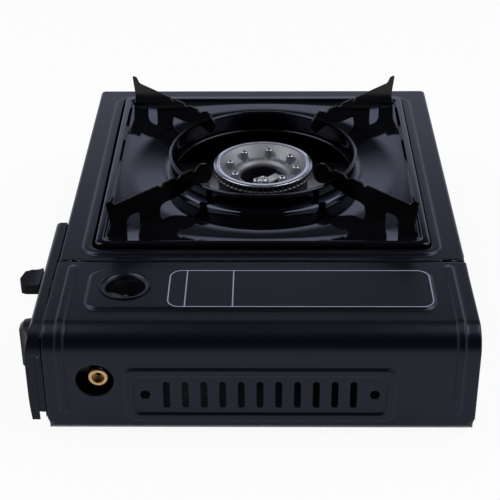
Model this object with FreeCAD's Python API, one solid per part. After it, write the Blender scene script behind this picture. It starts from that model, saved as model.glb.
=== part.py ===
import FreeCAD, Part
import math
import os

from FreeCAD import Vector

# Butane cassette stove, all sizes in millimetres, +Z up, feet on Z = 0.
# The cartridge side is +X, the side with the knob and the lock lever is -Y.

# Case
caseLength = 343.0        # far end wall to lid side wall
caseDepth = 258.6         # front wall to back wall, without the control panel
topHeight = 72.8          # table to top plate
sheet = 0.8               # steel sheet of the case, lid and panel
gapFit = 0.3              # gap between separate pieces
skirtBottom = 6.2         # lower edge of the shell, lid and panel
floorHeight = 4.0         # underside of the base tray
shellCorner = 3.0         # upright corners of the shell
shellEdge = 2.0           # bend along the top edges of the shell
trayLip = 10.0            # height of the base tray's upstand
footRadius = 10.0         # stamped foot at its root
footTip = 7.0             # stamped foot at the table
footInset = 24.0          # foot centre from the tray's edge
legWidth = 7.0            # small tab leg under each corner of the bay walls
ventWidth = 3.2           # vent slots of the back wall and the partition
ventHeight = 18.0
ventPitch = 11.0
ventCount = 9

# Raised land and pan opening in the top plate
lidWidth = 81.6           # top of the cartridge lid, hinge seam to side wall
farMargin = 14.0          # far end wall to raised land
seamMargin = 6.4          # raised land to hinge seam
sideMargin = 13.8         # front or back wall to raised land
panOffset = 0.6           # pan and burner sit this far towards the back
landRise = 1.6
landCorner = 12.0
landWidth = 6.4           # raised land between its edge and the opening
landDraft = 1.0
openingCorner = 6.0
ledgeDrop = 5.0           # seat of the pan below the land
ledgeWidth = 4.5

# Drip pan with its wind collar
panSheet = 0.9
panGap = 1.1              # pan edge to opening
rimAbove = 2.8            # rim above the raised land
rimWidth = 4.7
rimEdge = 0.9             # broken outer edge of the rim
rimDraft = 1.2            # slope between rim and pan floor
floorDrop = 2.0           # pan floor below its rim
dishRadius = 97.0         # the pan floor falls inside this circle
dishDrop = 2.0
holeRadius = 62.0         # hole in the pan under the collar
collarRadius = 66.8       # outside of the collar's rolled edge
collarFoot = 69.2         # outside of the collar where it stands on the pan
collarHeight = 13.7
collarSheet = 0.9
rollRadius = 1.3
rollSides = 10            # the roll's section is a polygon

# Pan supports, four flat arms on the diagonals
armThick = 1.4
armSetIn = 2.6            # outer foot from the pan's sloping wall, on the diagonal
armHeight = 21.1          # pot edge above the pan floor
armTipRise = 4.3          # raised outer tip above the pot edge
armTipWidth = 3.6
armHollow = 2.6           # hollow of the outer edge
armReachIn = 49.4         # inner end from the burner axis
armFootOuter = 15.5       # outer foot, along the arm
archWidth = 12.0          # cut-out between the two feet
archHeight = 8.2
innerFoot = 16.0
underside = 6.2           # lower edge of the arm above the floor
notchDepth = 2.0
notchWidth = 5.2
notchPitch = 15.4

# Burner
crownRadius = 35.25
crownTop = 3.8            # rim of the burner above the top plate
crownHeight = 6.2
crownWall = 3.0
rimFace = 4.35            # flat rim of the crown
bowlRadius = 21.0         # foot of the crown's dish
centreRadius = 16.2       # hole in the middle of the crown
dishDepth = 10.6          # rim to the edge of the middle hole
portCount = 60
portWidth = 1.7
portHeight = 3.7
portLand = 1.2            # metal over the ports
postCount = 8
postCircle = 23.8
postRadius = 2.2
postTaper = 1.35          # a post's foot against its tip
postHeight = 6.8
postHole = 0.9
postTurn = -10.3          # first post, degrees from +X
chamberRadius = 32.0
chamberDepth = 18.6
chamberWall = 2.0
chamberFlange = 57.0      # square flange under the crown
flangeThick = 2.0
strapWidth = 6.5
strapThick = 1.5
strapDrop = 4.5           # strap below the crown's middle edge
burnerScrewRadius = 2.0
burnerScrewHead = 4.0

# Galvanised shelf under the burner and the burner's stand
shelfTop = 26.2
shelfFar = 36.0           # far edge of the shelf from the far end wall
shelfDepth = 200.0
shelfSheet = 0.8
standDepth = 30.0

# Mixing tube
tubeRadius = 8.0
tubeWall = 1.0
tubeMouth = 10.5
tubeBell = 5.0            # length of the flared mouth
tubeReach = 8.0           # mouth beyond the partition, towards the jet
tubeFlat = 30.0           # straight run at the jet
tubeEntry = 14.0          # straight run at the gas chamber
screwRows = 80.0          # base screws on both sides of the burner axis
shelfFlange = 12.0

# Cartridge bay and lid
lidBend = 15.5            # bend between the lid's top and side
seamGap = 1.1
hingeDrop = 3.4           # hinge axis below the lid's top
hingeBack = 4.35          # hinge axis from the seam
hingePinRadius = 1.2
runningFit = 0.05
lidFlange = 5.0           # turned-down ends of the lid
lugRadius = 3.2
hingeLug = 2.2            # bay wall round the hinge pin
hingeSweep = 5.1          # room for the lid's rear edge about the hinge
seamRelief = 1.7          # notch in the shell's edge for a bead of the open lid
earSlot = 8.1             # slot in the shell for the lid's ear, from the seam
lidCut = 4.6              # cut lower corners of the lid
labelInset = 11.6         # raised label panel from the seam
labelWidth = 44.5
labelDepth = 213.0
labelRise = 1.5
labelCorner = 9.0
labelDraft = 1.6
lidShift = -0.5           # stampings of the lid, from the middle of the case
beadWidth = 5.7
beadRise = 1.4
beadCrest = 3.3           # width of the bead's crest
beadInset = 11.2          # bead centre from the lid's end
beadStart = 5.9           # bead from the seam
beadEnd = 9.4             # bead end above the lid's lower edge
lidHoleRadius = 12.0      # hole in the lid's top
lidHoleRoll = 3.5
rollSteps = 4
lidHoleFront = 46.0       # its centre from the case front
lidHoleSide = 50.6        # its centre from the lid side
hoseHoleRadius = 11.4     # hole in the lid's side
hoseHoleFront = 30.5
hoseHoleHeight = 34.4     # centre above the lower edge
frameDepth = 162.0        # raised frame of the lid side
frameHeight = 38.6
frameBase = 3.9
frameBand = 6.0
frameRise = 1.5
frameCorner = 6.0
frameDraft = 1.2
slotCount = 11
slotPitch = 11.17
slotWidth = 4.1
slotLength = 19.3
endHoleRadius = 3.0
endHoleSpan = 137.2

# Cartridge and what holds it; the cartridge itself is not part of the stove
cartridgeRadius = 33.2
cartridgeBody = 184.5
cartridgeSide = 39.8      # cartridge axis from the lid side
pusherTravel = 7.0
leverTravel = 16.0
pusherThick = 1.4
pusherHeight = 12.0
pusherBase = 6.5
pusherPlateWidth = 55.0
pusherPlateTop = 50.0
pusherPlateThick = 1.0
guideThick = 1.2

# Control panel
panelLength = 130.5       # left end of the panel to the lid side
panelBulge = 10.0         # bulge of the panel in front of the case wall
panelTopLand = 4.2        # flat strip along the top
panelShoulder = 7.4       # where the rounded shoulder ends
panelShoulderDrop = 4.2
panelBellyDrop = 22.8
flangeStrip = 4.3         # inner strip of the panel's side flange
flangeStep = 0.35
flangeNotch = 5.8
flangeHole = 0.9
flangeHoleHeight = 56.0
panelLower = 8.6          # bulge at the lower edge

# Knob, spindle and lever
knobSide = 34.0           # knob axis from the lid side
knobHeight = 42.2
knobRadius = 16.0
knobReach = 18.0          # knob face in front of the case wall
knobEdge = 2.6
knobGrip = 5.0            # grip bar between the two scoops
scoopRadius = 11.0
scoopDepth = 6.5
knobGap = 0.5
spindleRadius = 3.0
spindleHole = 5.5
leverSide = 79.0          # lever plate from the lid side
leverThick = 1.6
leverReach = 24.2         # lever tip in front of the case wall
leverTop = 10.3           # lever's upper face below the top plate
leverTabWidth = 19.5
leverTabHeight = 8.0
neckDrop = 2.4            # neck of the lever below the tab's upper face
neckSkin = 1.0            # tab under the neck
leverTabShift = 2.8       # tab stands off the plate towards the burner
camPinRadius = 1.5
camBack = 19.4            # cam pin at rest, behind the bay wall
camHeight = 34.0

# Gas valve, regulator, inlet and igniter
valveLength = 40.0
valveDepth = 47.0
valveHeight = 21.0
valveSide = 19.5          # block from the lid side
valveRound = 3.0
regulatorRadius = 20.0
regulatorHeight = 12.0
regulatorBack = 30.0      # its axis behind the bay wall
socketRadius = 9.0
socketBore = 5.3
socketLength = 9.0
inletRadius = 6.3
inletBore = 3.6
inletBack = 30.4          # inlet axis behind the bay wall
inletHeight = 40.0
inletStop = 1.5           # inlet's end inside the lid side
jetRadius = 4.0
jetLength = 12.0
igniterWidth = 14.0
igniterLength = 32.0
igniterHeight = 12.0
leadRadius = 1.3
leadHeight = 21.6         # lead between the pusher's bar and the mixing tube
leadAside = 0.5           # lead in front of the inlet axis
leadRun = 20.0            # straight run behind the partition
leadRise = 6.5            # lowest point above the tray
electrodeRadius = 2.6
electrodeGap = 4.0        # ceramic from the crown's rim

# Fasteners
screwHead = 3.0
screwHeadHigh = 1.4
screwRadius = 1.5
valveScrewSpan = 20.0
valveScrewDrop = 6.0      # below the spindle
valveScrewGrip = 5.0      # thread in the valve block

# Places that follow from the sizes above
xFar = -caseLength / 2
xLid = caseLength / 2
xSeam = xLid - lidWidth
yWall = caseDepth / 2
landX0 = xFar + farMargin
landX1 = xSeam - seamMargin
panX = (landX0 + landX1) / 2
panY = panOffset
landLength = landX1 - landX0
landDepth = caseDepth - 2 * sideMargin
landTop = topHeight + landRise
openLength = landLength - 2 * landWidth
openDepth = landDepth - 2 * landWidth
ledgeTop = landTop - ledgeDrop
panLength = openLength - 2 * panGap
panDepth = openDepth - 2 * panGap
rimTop = landTop + rimAbove
panFloor = rimTop - floorDrop
collarBase = panFloor - dishDrop
collarTop = collarBase + collarHeight
floorTop = floorHeight + sheet
yBay = yWall - sheet - gapFit
bayInner = yBay - sheet
xTray = xLid - sheet - gapFit
hingeX = xSeam + hingeBack
hingeZ = topHeight - hingeDrop
partitionX = landX1 - landWidth + sheet + 5.0
crownZ = topHeight + crownTop
crownBase = crownZ - crownHeight
chamberBase = crownBase - chamberDepth
cartridgeX = xLid - cartridgeSide
cartridgeZ = floorTop + cartridgeRadius + 0.2
valveX1 = xLid - valveSide
valveX0 = valveX1 - valveLength
valveY0 = -bayInner
valveY1 = valveY0 + valveDepth
valveZ0 = inletHeight - valveHeight / 2
valveZ1 = inletHeight + valveHeight / 2
inletY = -bayInner + inletBack
leverX = xLid - leverSide
knobX = xLid - knobSide
neckTop = topHeight - leverTop - neckDrop
neckLow = topHeight - leverTop - leverTabHeight + neckSkin
pusherX = leverX + leverThick / 2 + 1.7
pusherRest = valveY1 + 3.0 + guideThick + cartridgeBody + pusherTravel
tubeHeight = chamberBase + tubeRadius + 0.5
frameShift = Vector(-frameRise / 2, leverReach / 2, 0)


def save(shape, node):
    """Write one sub-part, moved so that the whole stove stands over the origin."""
    shape = shape.copy()
    shape.translate(frameShift)
    shape.exportStep("parts/" + node + ".step")
    return shape


def block(x0, x1, y0, y1, z0, z1):
    return Part.makeBox(x1 - x0, y1 - y0, z1 - z0, Vector(x0, y0, z0))


def rod(x, y, z, radius, length, axis):
    return Part.makeCylinder(radius, length, Vector(x, y, z), axis)


def along(direction):
    return {"x": Vector(1, 0, 0), "y": Vector(0, 1, 0), "z": Vector(0, 0, 1)}[direction]


def roundedWire(length, depth, corner, z):
    """Rectangle with round corners about the Z axis."""
    hx = length / 2
    hy = depth / 2
    k = corner * (1 - math.sqrt(0.5))
    edges = []
    for turn in range(4):
        sx = 1 if turn in (0, 1) else -1
        sy = 1 if turn in (0, 3) else -1
        a = Vector((hx - corner) * sx, hy * sy, z)
        m = Vector((hx - k) * sx, (hy - k) * sy, z)
        b = Vector(hx * sx, (hy - corner) * sy, z)
        if turn in (1, 3):
            a, b = b, a
        edges.append((a, m, b))
    shapes = []
    for i, (a, m, b) in enumerate(edges):
        shapes.append(Part.Arc(a, m, b).toShape())
        shapes.append(Part.LineSegment(b, edges[(i + 1) % 4][0]).toShape())
    return Part.Wire(shapes)


def slab(cx, cy, length, depth, corner, z0, z1):
    """Upright prism with round corners."""
    solid = Part.Face(roundedWire(length, depth, corner, z0)).extrude(Vector(0, 0, z1 - z0))
    solid.translate(Vector(cx, cy, 0))
    return solid


def stamping(cx, cy, length, depth, corner, z0, rise, draft):
    """Raised stamping with sloping sides, its foot on z0."""
    foot = roundedWire(length, depth, corner, z0)
    crest = roundedWire(length - 2 * draft, depth - 2 * draft, max(corner - draft, 0.5), z0 + rise)
    solid = Part.makeLoft([foot, crest], True, True)
    solid.translate(Vector(cx, cy, 0))
    return solid


def toSide(shape, x, y, z):
    """Turn a shape made on the XY plane so that its +Z looks along +X, and place it."""
    shape = shape.copy()
    shape.rotate(Vector(0, 0, 0), Vector(0, 1, 0), 90)
    shape.translate(Vector(x, y, z))
    return shape


def turned(points, cx, cy):
    """Solid of revolution about an upright axis from radius and height pairs."""
    pts = [Vector(r, 0, z) for r, z in points]
    face = Part.Face(Part.makePolygon(pts + [pts[0]]))
    solid = face.revolve(Vector(0, 0, 0), Vector(0, 0, 1), 360)
    solid.translate(Vector(cx, cy, 0))
    return solid


def plateYZ(points, x0, thick):
    """Plate standing across X from an outline in Y and Z."""
    pts = [Vector(x0, y, z) for y, z in points]
    return Part.Face(Part.makePolygon(pts + [pts[0]])).extrude(Vector(thick, 0, 0))


def capsule(y0, z0, y1, z1, radius, x0, x1):
    """Straight slot across X with round ends."""
    first = rod(x0, y0, z0, radius, x1 - x0, along("x"))
    last = rod(x0, y1, z1, radius, x1 - x0, along("x"))
    dy = y1 - y0
    dz = z1 - z0
    run = math.hypot(dy, dz)
    ny = -dz / run * radius
    nz = dy / run * radius
    middle = plateYZ([(y0 + ny, z0 + nz), (y1 + ny, z1 + nz), (y1 - ny, z1 - nz), (y0 - ny, z0 - nz)],
                     x0, x1 - x0)
    return first.fuse([middle, last]).removeSplitter()


def softPath(points):
    """Straight runs joined by tangent arcs, each as large as its two runs allow."""
    edges = []
    start = points[0]
    for i in range(1, len(points) - 1):
        p = points[i]
        a = points[i - 1] - p
        b = points[i + 1] - p
        turn = math.pi - a.getAngle(b)
        cut = 0.45 * min(a.Length, b.Length)
        radius = cut / math.tan(turn / 2)
        ua = a.normalize()
        ub = b.normalize()
        p0 = p + ua * cut
        p1 = p + ub * cut
        middle = (ua + ub).normalize()
        pm = p + middle * (radius / math.cos(turn / 2) - radius)
        edges.append(Part.LineSegment(start, p0).toShape())
        edges.append(Part.Arc(p0, pm, p1).toShape())
        print("bend radius", round(radius, 1))
        start = p1
    edges.append(Part.LineSegment(start, points[-1]).toShape())
    return Part.Wire(edges)


def pipe(path, radius):
    """Round bar along a path."""
    first = path.Edges[0]
    start = first.valueAt(first.FirstParameter)
    direction = first.tangentAt(first.FirstParameter)
    ring = Part.Wire([Part.Circle(start, direction, radius).toShape()])
    return path.makePipeShell([ring], True, False)


def lidBand(outer, inner, x0, zEnd):
    """Section between two offsets of the lid's outside, in X and Z at Y = 0."""
    cx = xLid - lidBend
    cz = topHeight - lidBend
    s = math.sqrt(0.5)

    def leg(offset):
        r = lidBend + offset
        return (Vector(x0, 0, topHeight + offset), Vector(cx, 0, cz + r),
                Vector(cx + r * s, 0, cz + r * s), Vector(cx + r, 0, cz), Vector(xLid + offset, 0, zEnd))

    a = leg(outer)
    b = leg(inner)
    edges = [Part.LineSegment(a[0], a[1]), Part.Arc(a[1], a[2], a[3]), Part.LineSegment(a[3], a[4]),
             Part.LineSegment(a[4], b[4]), Part.LineSegment(b[4], b[3]), Part.Arc(b[3], b[2], b[1]),
             Part.LineSegment(b[1], b[0]), Part.LineSegment(b[0], a[0])]
    return Part.Face(Part.Wire([e.toShape() for e in edges]))


def lidRegion(offset, x0, z0):
    """Everything inside an offset of the lid's outside."""
    cx = xLid - lidBend
    cz = topHeight - lidBend
    r = lidBend + offset
    s = math.sqrt(0.5)
    a = Vector(x0, 0, topHeight + offset)
    b = Vector(cx, 0, cz + r)
    m = Vector(cx + r * s, 0, cz + r * s)
    c = Vector(cx + r, 0, cz)
    d = Vector(xLid + offset, 0, z0)
    e = Vector(x0, 0, z0)
    edges = [Part.LineSegment(a, b), Part.Arc(b, m, c), Part.LineSegment(c, d), Part.LineSegment(d, e),
             Part.LineSegment(e, a)]
    return Part.Face(Part.Wire([g.toShape() for g in edges]))


def spread(face, y0, y1):
    """Extrude a section in X and Z between two places along Y."""
    face = face.copy()
    face.translate(Vector(0, y0, 0))
    return face.extrude(Vector(0, y1 - y0, 0))


def shellBody(inset):
    """Block of the shell with its bent edges, drawn in by inset."""
    x0 = xFar + inset
    x1 = xSeam + (sheet if inset else 0)
    y = yWall - inset
    solid = block(x0, x1, -y, y, skirtBottom - (sheet if inset else 0), topHeight - inset)
    upright = []
    crest = []
    for e in solid.Edges:
        c = e.CenterOfMass
        if abs(c.x - x0) < 0.01 and abs(abs(c.y) - y) < 0.01:
            upright.append(e)
        elif abs(c.z - (topHeight - inset)) < 0.01 and c.x < x1 - 0.01:
            crest.append(e)
    solid = solid.makeFillet(shellCorner - inset, upright)
    crest = [e for e in solid.Edges if abs(e.CenterOfMass.z - (topHeight - inset)) < 0.01
             and e.CenterOfMass.x < x1 - 0.01]
    return solid.makeFillet(shellEdge - inset, crest)


def topShell():
    """Top plate with far, front and back walls, the raised land and the pan's seat."""
    shell = shellBody(0).cut(shellBody(sheet))
    raised = stamping(panX, panY, landLength, landDepth, landCorner, topHeight, landRise, landDraft)
    pocket = raised.copy()
    pocket.translate(Vector(0, 0, -sheet))
    # the land's own plate stays over the pocket
    shell = shell.fuse(raised).cut(pocket)
    hole = slab(panX, panY, openLength, openDepth, openingCorner, topHeight - 2 * ledgeDrop, landTop + 1)
    shell = shell.cut(hole)
    outer = slab(panX, panY, openLength + 2 * sheet, openDepth + 2 * sheet, openingCorner + sheet,
                 ledgeTop - sheet, landTop)
    well = slab(panX, panY, openLength, openDepth, openingCorner, ledgeTop, landTop)
    inner = slab(panX, panY, openLength - 2 * ledgeWidth, openDepth - 2 * ledgeWidth, openingCorner,
                 ledgeTop - sheet, ledgeTop)
    shell = shell.fuse(outer.cut(well).cut(inner))
    for i in range(ventCount):
        x = panX + (i - (ventCount - 1) / 2) * ventPitch
        shell = shell.cut(block(x - ventWidth / 2, x + ventWidth / 2, yWall - 2 * sheet, yWall + sheet,
                                shelfTop, shelfTop + ventHeight))
    for side in (-1, 1):
        y = side * (yWall - beadInset) + lidShift
        shell = shell.cut(block(xSeam - seamRelief, xSeam + 1, y - beadWidth / 2 - gapFit,
                                y + beadWidth / 2 + gapFit, topHeight - 2 * sheet, topHeight + 1))
        y = side * yWall
        shell = shell.cut(block(xSeam - earSlot, xSeam + 1, y - sheet, y + sheet, hingeZ - hingeSweep, topHeight))
    return shell.removeSplitter()


def bayWall(side):
    """End wall of the cartridge bay, part of the base tray; side is -1 at the front."""
    y0 = yBay - sheet if side > 0 else -yBay
    wall = spread(lidRegion(-sheet - gapFit, partitionX + sheet, floorHeight), y0, y0 + sheet)
    wall = wall.cut(block(partitionX, xSeam + seamGap, y0 - 1, y0 + 2, topHeight - shellEdge, topHeight))
    sweep = rod(hingeX, y0, hingeZ, hingeSweep, sheet, along("y"))
    sweep = sweep.common(block(hingeX - hingeSweep, hingeX, y0, y0 + sheet, hingeZ - hingeSweep, topHeight))
    wall = wall.cut(sweep.cut(rod(hingeX, y0, hingeZ, hingeLug, sheet, along("y"))))
    leg = block(xTray - 1.5 * legWidth, xTray - legWidth / 2, y0, y0 + sheet, 1.2, floorHeight)
    return wall.fuse(leg)


def baseTray():
    """Floor with a low upstand, four stamped feet and the two bay walls."""
    x0 = xFar + sheet + gapFit
    length = xTray - x0
    cx = (xTray + x0) / 2
    tray = slab(cx, 0, length, 2 * yBay, shellCorner, floorHeight, floorHeight + trayLip)
    tray = tray.cut(slab(cx, 0, length - 2 * sheet, 2 * bayInner, shellCorner - sheet, floorTop,
                         floorHeight + trayLip))
    for sx in (-1, 1):
        for sy in (-1, 1):
            x = cx + sx * (length / 2 - footInset)
            y = sy * (yBay - footInset)
            foot = Part.makeCone(footTip, footRadius, floorHeight, Vector(x, y, 0))
            hollow = foot.copy()
            hollow.translate(Vector(0, 0, sheet))
            tray = tray.fuse(foot).cut(hollow)
    for i in range(ventCount):
        y = (i - (ventCount - 1) / 2) * ventPitch
        tray = tray.cut(block(panX - ventHeight, panX + ventHeight, y - ventWidth / 2, y + ventWidth / 2,
                              floorHeight - 1, floorTop + 1))
    for x, y in screwPlaces():
        tray = tray.cut(rod(x, y, floorHeight, screwRadius, sheet, along("z")))
    tray = tray.fuse([bayWall(-1), bayWall(1)])
    # spindle hole and lever slot in the front bay wall
    tray = tray.cut(rod(knobX, -yBay - 1, knobHeight, spindleHole, 3, along("y")))
    tray = tray.cut(leverSlot(-yBay - 1, -yBay + 2))
    for x, z in valveScrewPlaces():
        tray = tray.cut(rod(x, -yBay, z, screwRadius, sheet, along("y")))
    for side in (-1, 1):
        y = side * (yBay + 1)
        tray = tray.cut(rod(hingeX, y, hingeZ, hingePinRadius, 3 + sheet, Vector(0, -side, 0)))
    return tray.removeSplitter()


def leverSlot(y0, y1):
    """Upright slot that guides the lever's neck."""
    half = leverThick / 2 + gapFit
    return block(leverX - half, leverX + half, y0, y1, neckLow - leverTravel - gapFit, neckTop + gapFit)


def partition():
    """Upright wall between the burner box and the cartridge bay."""
    wall = block(partitionX, partitionX + sheet, -bayInner, bayInner, floorTop, topHeight - sheet)
    wall = wall.cut(rod(partitionX - 1, inletY, inletHeight, tubeRadius + gapFit, 3 + sheet, along("x")))
    wall = wall.cut(rod(partitionX - 1, leadPoints()[0].y, leadHeight, leadRadius + gapFit,
                        3 + sheet, along("x")))
    for i in range(ventCount):
        y = panY + 30 + (i - (ventCount - 1) / 2) * ventPitch
        wall = wall.cut(block(partitionX - 1, partitionX + 2, y - ventWidth / 2, y + ventWidth / 2,
                              shelfTop + 6, shelfTop + 6 + ventHeight))
    return wall


def shelf():
    """Galvanised shelf that carries the burner's stand, bent down to the tray, with two foot flanges."""
    x0 = xFar + shelfFar
    x1 = partitionX
    y = shelfDepth / 2
    flange = y + shelfFlange
    body = block(x0, x1, -y, y, floorTop, shelfTop)
    body = body.fuse(block(x0, x1, -flange, flange, floorTop, floorTop + shelfSheet))
    body = body.cut(block(x0 + shelfSheet, x1 + 1, -y + shelfSheet, y - shelfSheet, floorTop,
                          shelfTop - shelfSheet))
    e = electrodePlace()
    body = body.cut(rod(e.x, e.y, floorTop, leadRadius + 0.7, shelfTop, along("z")))
    for x, y in screwPlaces():
        body = body.cut(rod(x, y, floorTop, screwRadius, shelfSheet, along("z")))
    return body.removeSplitter()


def screwPlaces():
    """Screws through the tray into the shelf's flanges."""
    y = (shelfDepth + shelfFlange) / 2
    return [(panX + sx * screwRows, sy * y) for sx in (-1, 1) for sy in (-1, 1)]


def burnerStand():
    """Bridge of sheet under the gas chamber."""
    half = chamberFlange / 2
    x0 = panX - standDepth / 2
    x1 = panX + standDepth / 2
    body = block(x0, x1, panY - half, panY + half, shelfTop, chamberBase)
    hollow = block(x0, x1, panY - half + shelfSheet, panY + half - shelfSheet, shelfTop,
                   chamberBase - 2 * shelfSheet)
    hole = rod(panX, panY, shelfTop, burnerScrewRadius, chamberBase, along("z"))
    return body.cut(hollow).cut(hole)


def crown():
    """Cast crown: flat rim, dish, ports in its wall and upright posts."""
    r = crownRadius
    top = crownZ
    edge = top - dishDepth
    inner = r - crownWall
    lip = r - rimFace
    under = crownWall * 0.55
    points = [(r, top - portLand), (r, top), (lip, top), (lip - 1.0, top - 1.0), (bowlRadius, edge + 3.2),
              (centreRadius + 1.3, edge + 1.4), (centreRadius, edge), (centreRadius, edge - 1.6),
              (centreRadius + under, edge - 1.6), (bowlRadius + 0.4, edge + 3.2 - 2 * under),
              (lip - 1.4, top - 1.0 - 1.2 * under), (inner, top - portLand)]
    solid = turned(points, 0, 0).fuse(portWall(inner))
    slope = (top - 1.0 - edge - 3.2) / (lip - 1.0 - bowlRadius)
    seat = edge + 3.2 + slope * (postCircle - bowlRadius)
    posts = []
    for i in range(postCount):
        a = math.radians(postTurn + 360.0 / postCount * i)
        x = postCircle * math.cos(a)
        y = postCircle * math.sin(a)
        posts.append(Part.makeCone(postRadius * postTaper, postRadius, postHeight, Vector(x, y, seat - 1.2)))
    solid = solid.fuse(posts)
    drills = []
    for i in range(postCount):
        a = math.radians(postTurn + 360.0 / postCount * i)
        drills.append(rod(postCircle * math.cos(a), postCircle * math.sin(a), seat + 1.0, postHole,
                          postHeight, along("z")))
    solid = solid.cut(drills)
    solid.translate(Vector(panX, panY, 0))
    return solid


def portWall(inner):
    """Wall of the crown with its flame ports open under the rim."""
    high = crownZ - portLand
    wall = rod(0, 0, crownBase, crownRadius, high - crownBase, along("z"))
    wall = wall.cut(rod(0, 0, crownBase, inner, high - crownBase, along("z")))
    cuts = []
    for i in range(portCount):
        slot = block(inner - 1, crownRadius + 1, -portWidth / 2, portWidth / 2, high - portHeight, high)
        slot.rotate(Vector(0, 0, 0), Vector(0, 0, 1), 360.0 / portCount * i)
        cuts.append(slot)
    return wall.cut(cuts)


def chamber():
    """Cast gas chamber under the crown, a ring channel with a square flange and a side port."""
    w = chamberWall
    base = chamberBase
    points = [(centreRadius + 0.3, base), (chamberRadius, base), (chamberRadius, crownBase),
              (chamberRadius - w, crownBase), (chamberRadius - w, base + w),
              (centreRadius + 0.3 + w, base + w), (centreRadius + 0.3 + w, crownZ - dishDepth - 1.8),
              (centreRadius + 0.3, crownZ - dishDepth - 1.8)]
    ring = turned(points, 0, 0)
    flange = slab(0, 0, chamberFlange, chamberFlange, 4, crownBase - flangeThick, crownBase)
    flange = flange.cut(rod(0, 0, crownBase - flangeThick, chamberRadius - w, flangeThick, along("z")))
    solid = ring.fuse(flange)
    foot = block(-standDepth / 2, standDepth / 2, -centreRadius - 1, centreRadius + 1, base, base + w)
    solid = solid.fuse(foot)
    solid.translate(Vector(panX, panY, 0))
    path = tubePath()
    side = path[2] - path[3]
    port = rod(path[3].x, path[3].y, tubeHeight, tubeRadius - tubeWall, side.Length, side.normalize())
    core = rod(panX, panY, base, centreRadius + 0.3 + w, crownBase, along("z"))
    solid = solid.cut(port.cut(core))
    return solid.cut(rod(panX, panY, base, burnerScrewRadius, w, along("z")))


def strap():
    """Bridge strap across the middle hole, held by the burner screw."""
    z = crownZ - dishDepth - strapDrop
    half = centreRadius
    bar = block(-half, half, -strapWidth / 2, strapWidth / 2, z - strapThick, z)
    bar = bar.common(rod(0, 0, z - strapThick, half + 0.3, strapThick, along("z")))
    bar = bar.cut(rod(0, 0, z - strapThick, burnerScrewRadius, strapThick, along("z")))
    bar.rotate(Vector(0, 0, 0), Vector(0, 0, 1), 135)
    bar.translate(Vector(panX, panY, 0))
    return bar


def burnerScrew():
    z = crownZ - dishDepth - strapDrop
    shank = rod(panX, panY, chamberBase - 3.0, burnerScrewRadius, z - chamberBase + 3.0, along("z"))
    head = rod(panX, panY, z, burnerScrewHead, 2.2, along("z"))
    return shank.fuse(head).removeSplitter()


def tubePath():
    """Middle line of the mixing tube, from its mouth to the burner's side."""
    mouth = Vector(partitionX + tubeReach, inletY, inletHeight)
    bend = mouth - Vector(tubeFlat, 0, 0)
    axis = Vector(panX, panY, tubeHeight)
    away = Vector(bend.x - panX, bend.y - panY, 0).normalize()
    return [mouth, bend, axis + away * (chamberRadius + tubeEntry), axis + away * (centreRadius + 6)]


def mixingTube():
    """Tube from the jet through the partition to the gas chamber."""
    path = softPath(tubePath())
    tube = pipe(path, tubeRadius)
    bore = pipe(path, tubeRadius - tubeWall)
    start = Vector(partitionX + tubeReach - tubeBell, inletY, inletHeight)
    bell = Part.makeCone(tubeRadius, tubeMouth, tubeBell, start, along("x"))
    bellIn = Part.makeCone(tubeRadius - tubeWall, tubeMouth - tubeWall, tubeBell, start, along("x"))
    tube = tube.fuse(bell).cut(bore).cut(bellIn)
    return tube.cut(rod(panX, panY, 0, chamberRadius, topHeight, along("z")))


def dripPan():
    """Pressed pan: skirt, raised rim, floor that dishes towards the collar's hole."""
    t = panSheet
    seat = ledgeTop + gapFit
    outer = slab(panX, panY, panLength, panDepth, openingCorner - panGap, seat, rimTop)
    crest = [e for e in outer.Edges if abs(e.CenterOfMass.z - rimTop) < 0.01]
    outer = outer.makeChamfer(rimEdge, crest)
    wellLength = panLength - 2 * rimWidth
    wellDepth = panDepth - 2 * rimWidth
    well = stamping(panX, panY, wellLength, wellDepth, openingCorner, rimTop, -floorDrop, rimDraft)
    dish = turned([(0, panFloor + 0.01), (dishRadius, panFloor + 0.01), (collarFoot + 1.5, collarBase),
                   (0, collarBase)], panX, panY)
    top = outer.cut(well).cut(dish)
    under = slab(panX, panY, panLength - 2 * t, panDepth - 2 * t, openingCorner - panGap - t / 2,
                 seat - 1, rimTop - t)
    keep = stamping(panX, panY, wellLength + 2 * t, wellDepth + 2 * t, openingCorner, rimTop - t,
                    -floorDrop, rimDraft)
    under = under.cut(keep.cut(slab(panX, panY, panLength, panDepth, 2, seat - 5, rimTop - floorDrop - t)))
    dishUnder = turned([(0, panFloor - t), (dishRadius, panFloor - t), (collarFoot + 1.5, collarBase - t),
                        (0, collarBase - t)], panX, panY)
    pan = top.cut(under.cut(dishUnder.fuse(slab(panX, panY, panLength, panDepth, 2, panFloor - t, rimTop)
                                           .cut(slab(panX, panY, wellLength, wellDepth, 2,
                                                     panFloor - t, rimTop)))))
    pan = pan.fuse(dishShell())
    return pan.cut(rod(panX, panY, seat - 5, holeRadius, 40, along("z")))


def dishShell():
    t = panSheet
    return turned([(holeRadius, collarBase - t), (collarFoot + 1.5, collarBase - t),
                   (dishRadius, panFloor - t), (dishRadius + 1, panFloor - t), (dishRadius + 1, panFloor),
                   (dishRadius, panFloor), (collarFoot + 1.5, collarBase), (holeRadius, collarBase)],
                  panX, panY)


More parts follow.
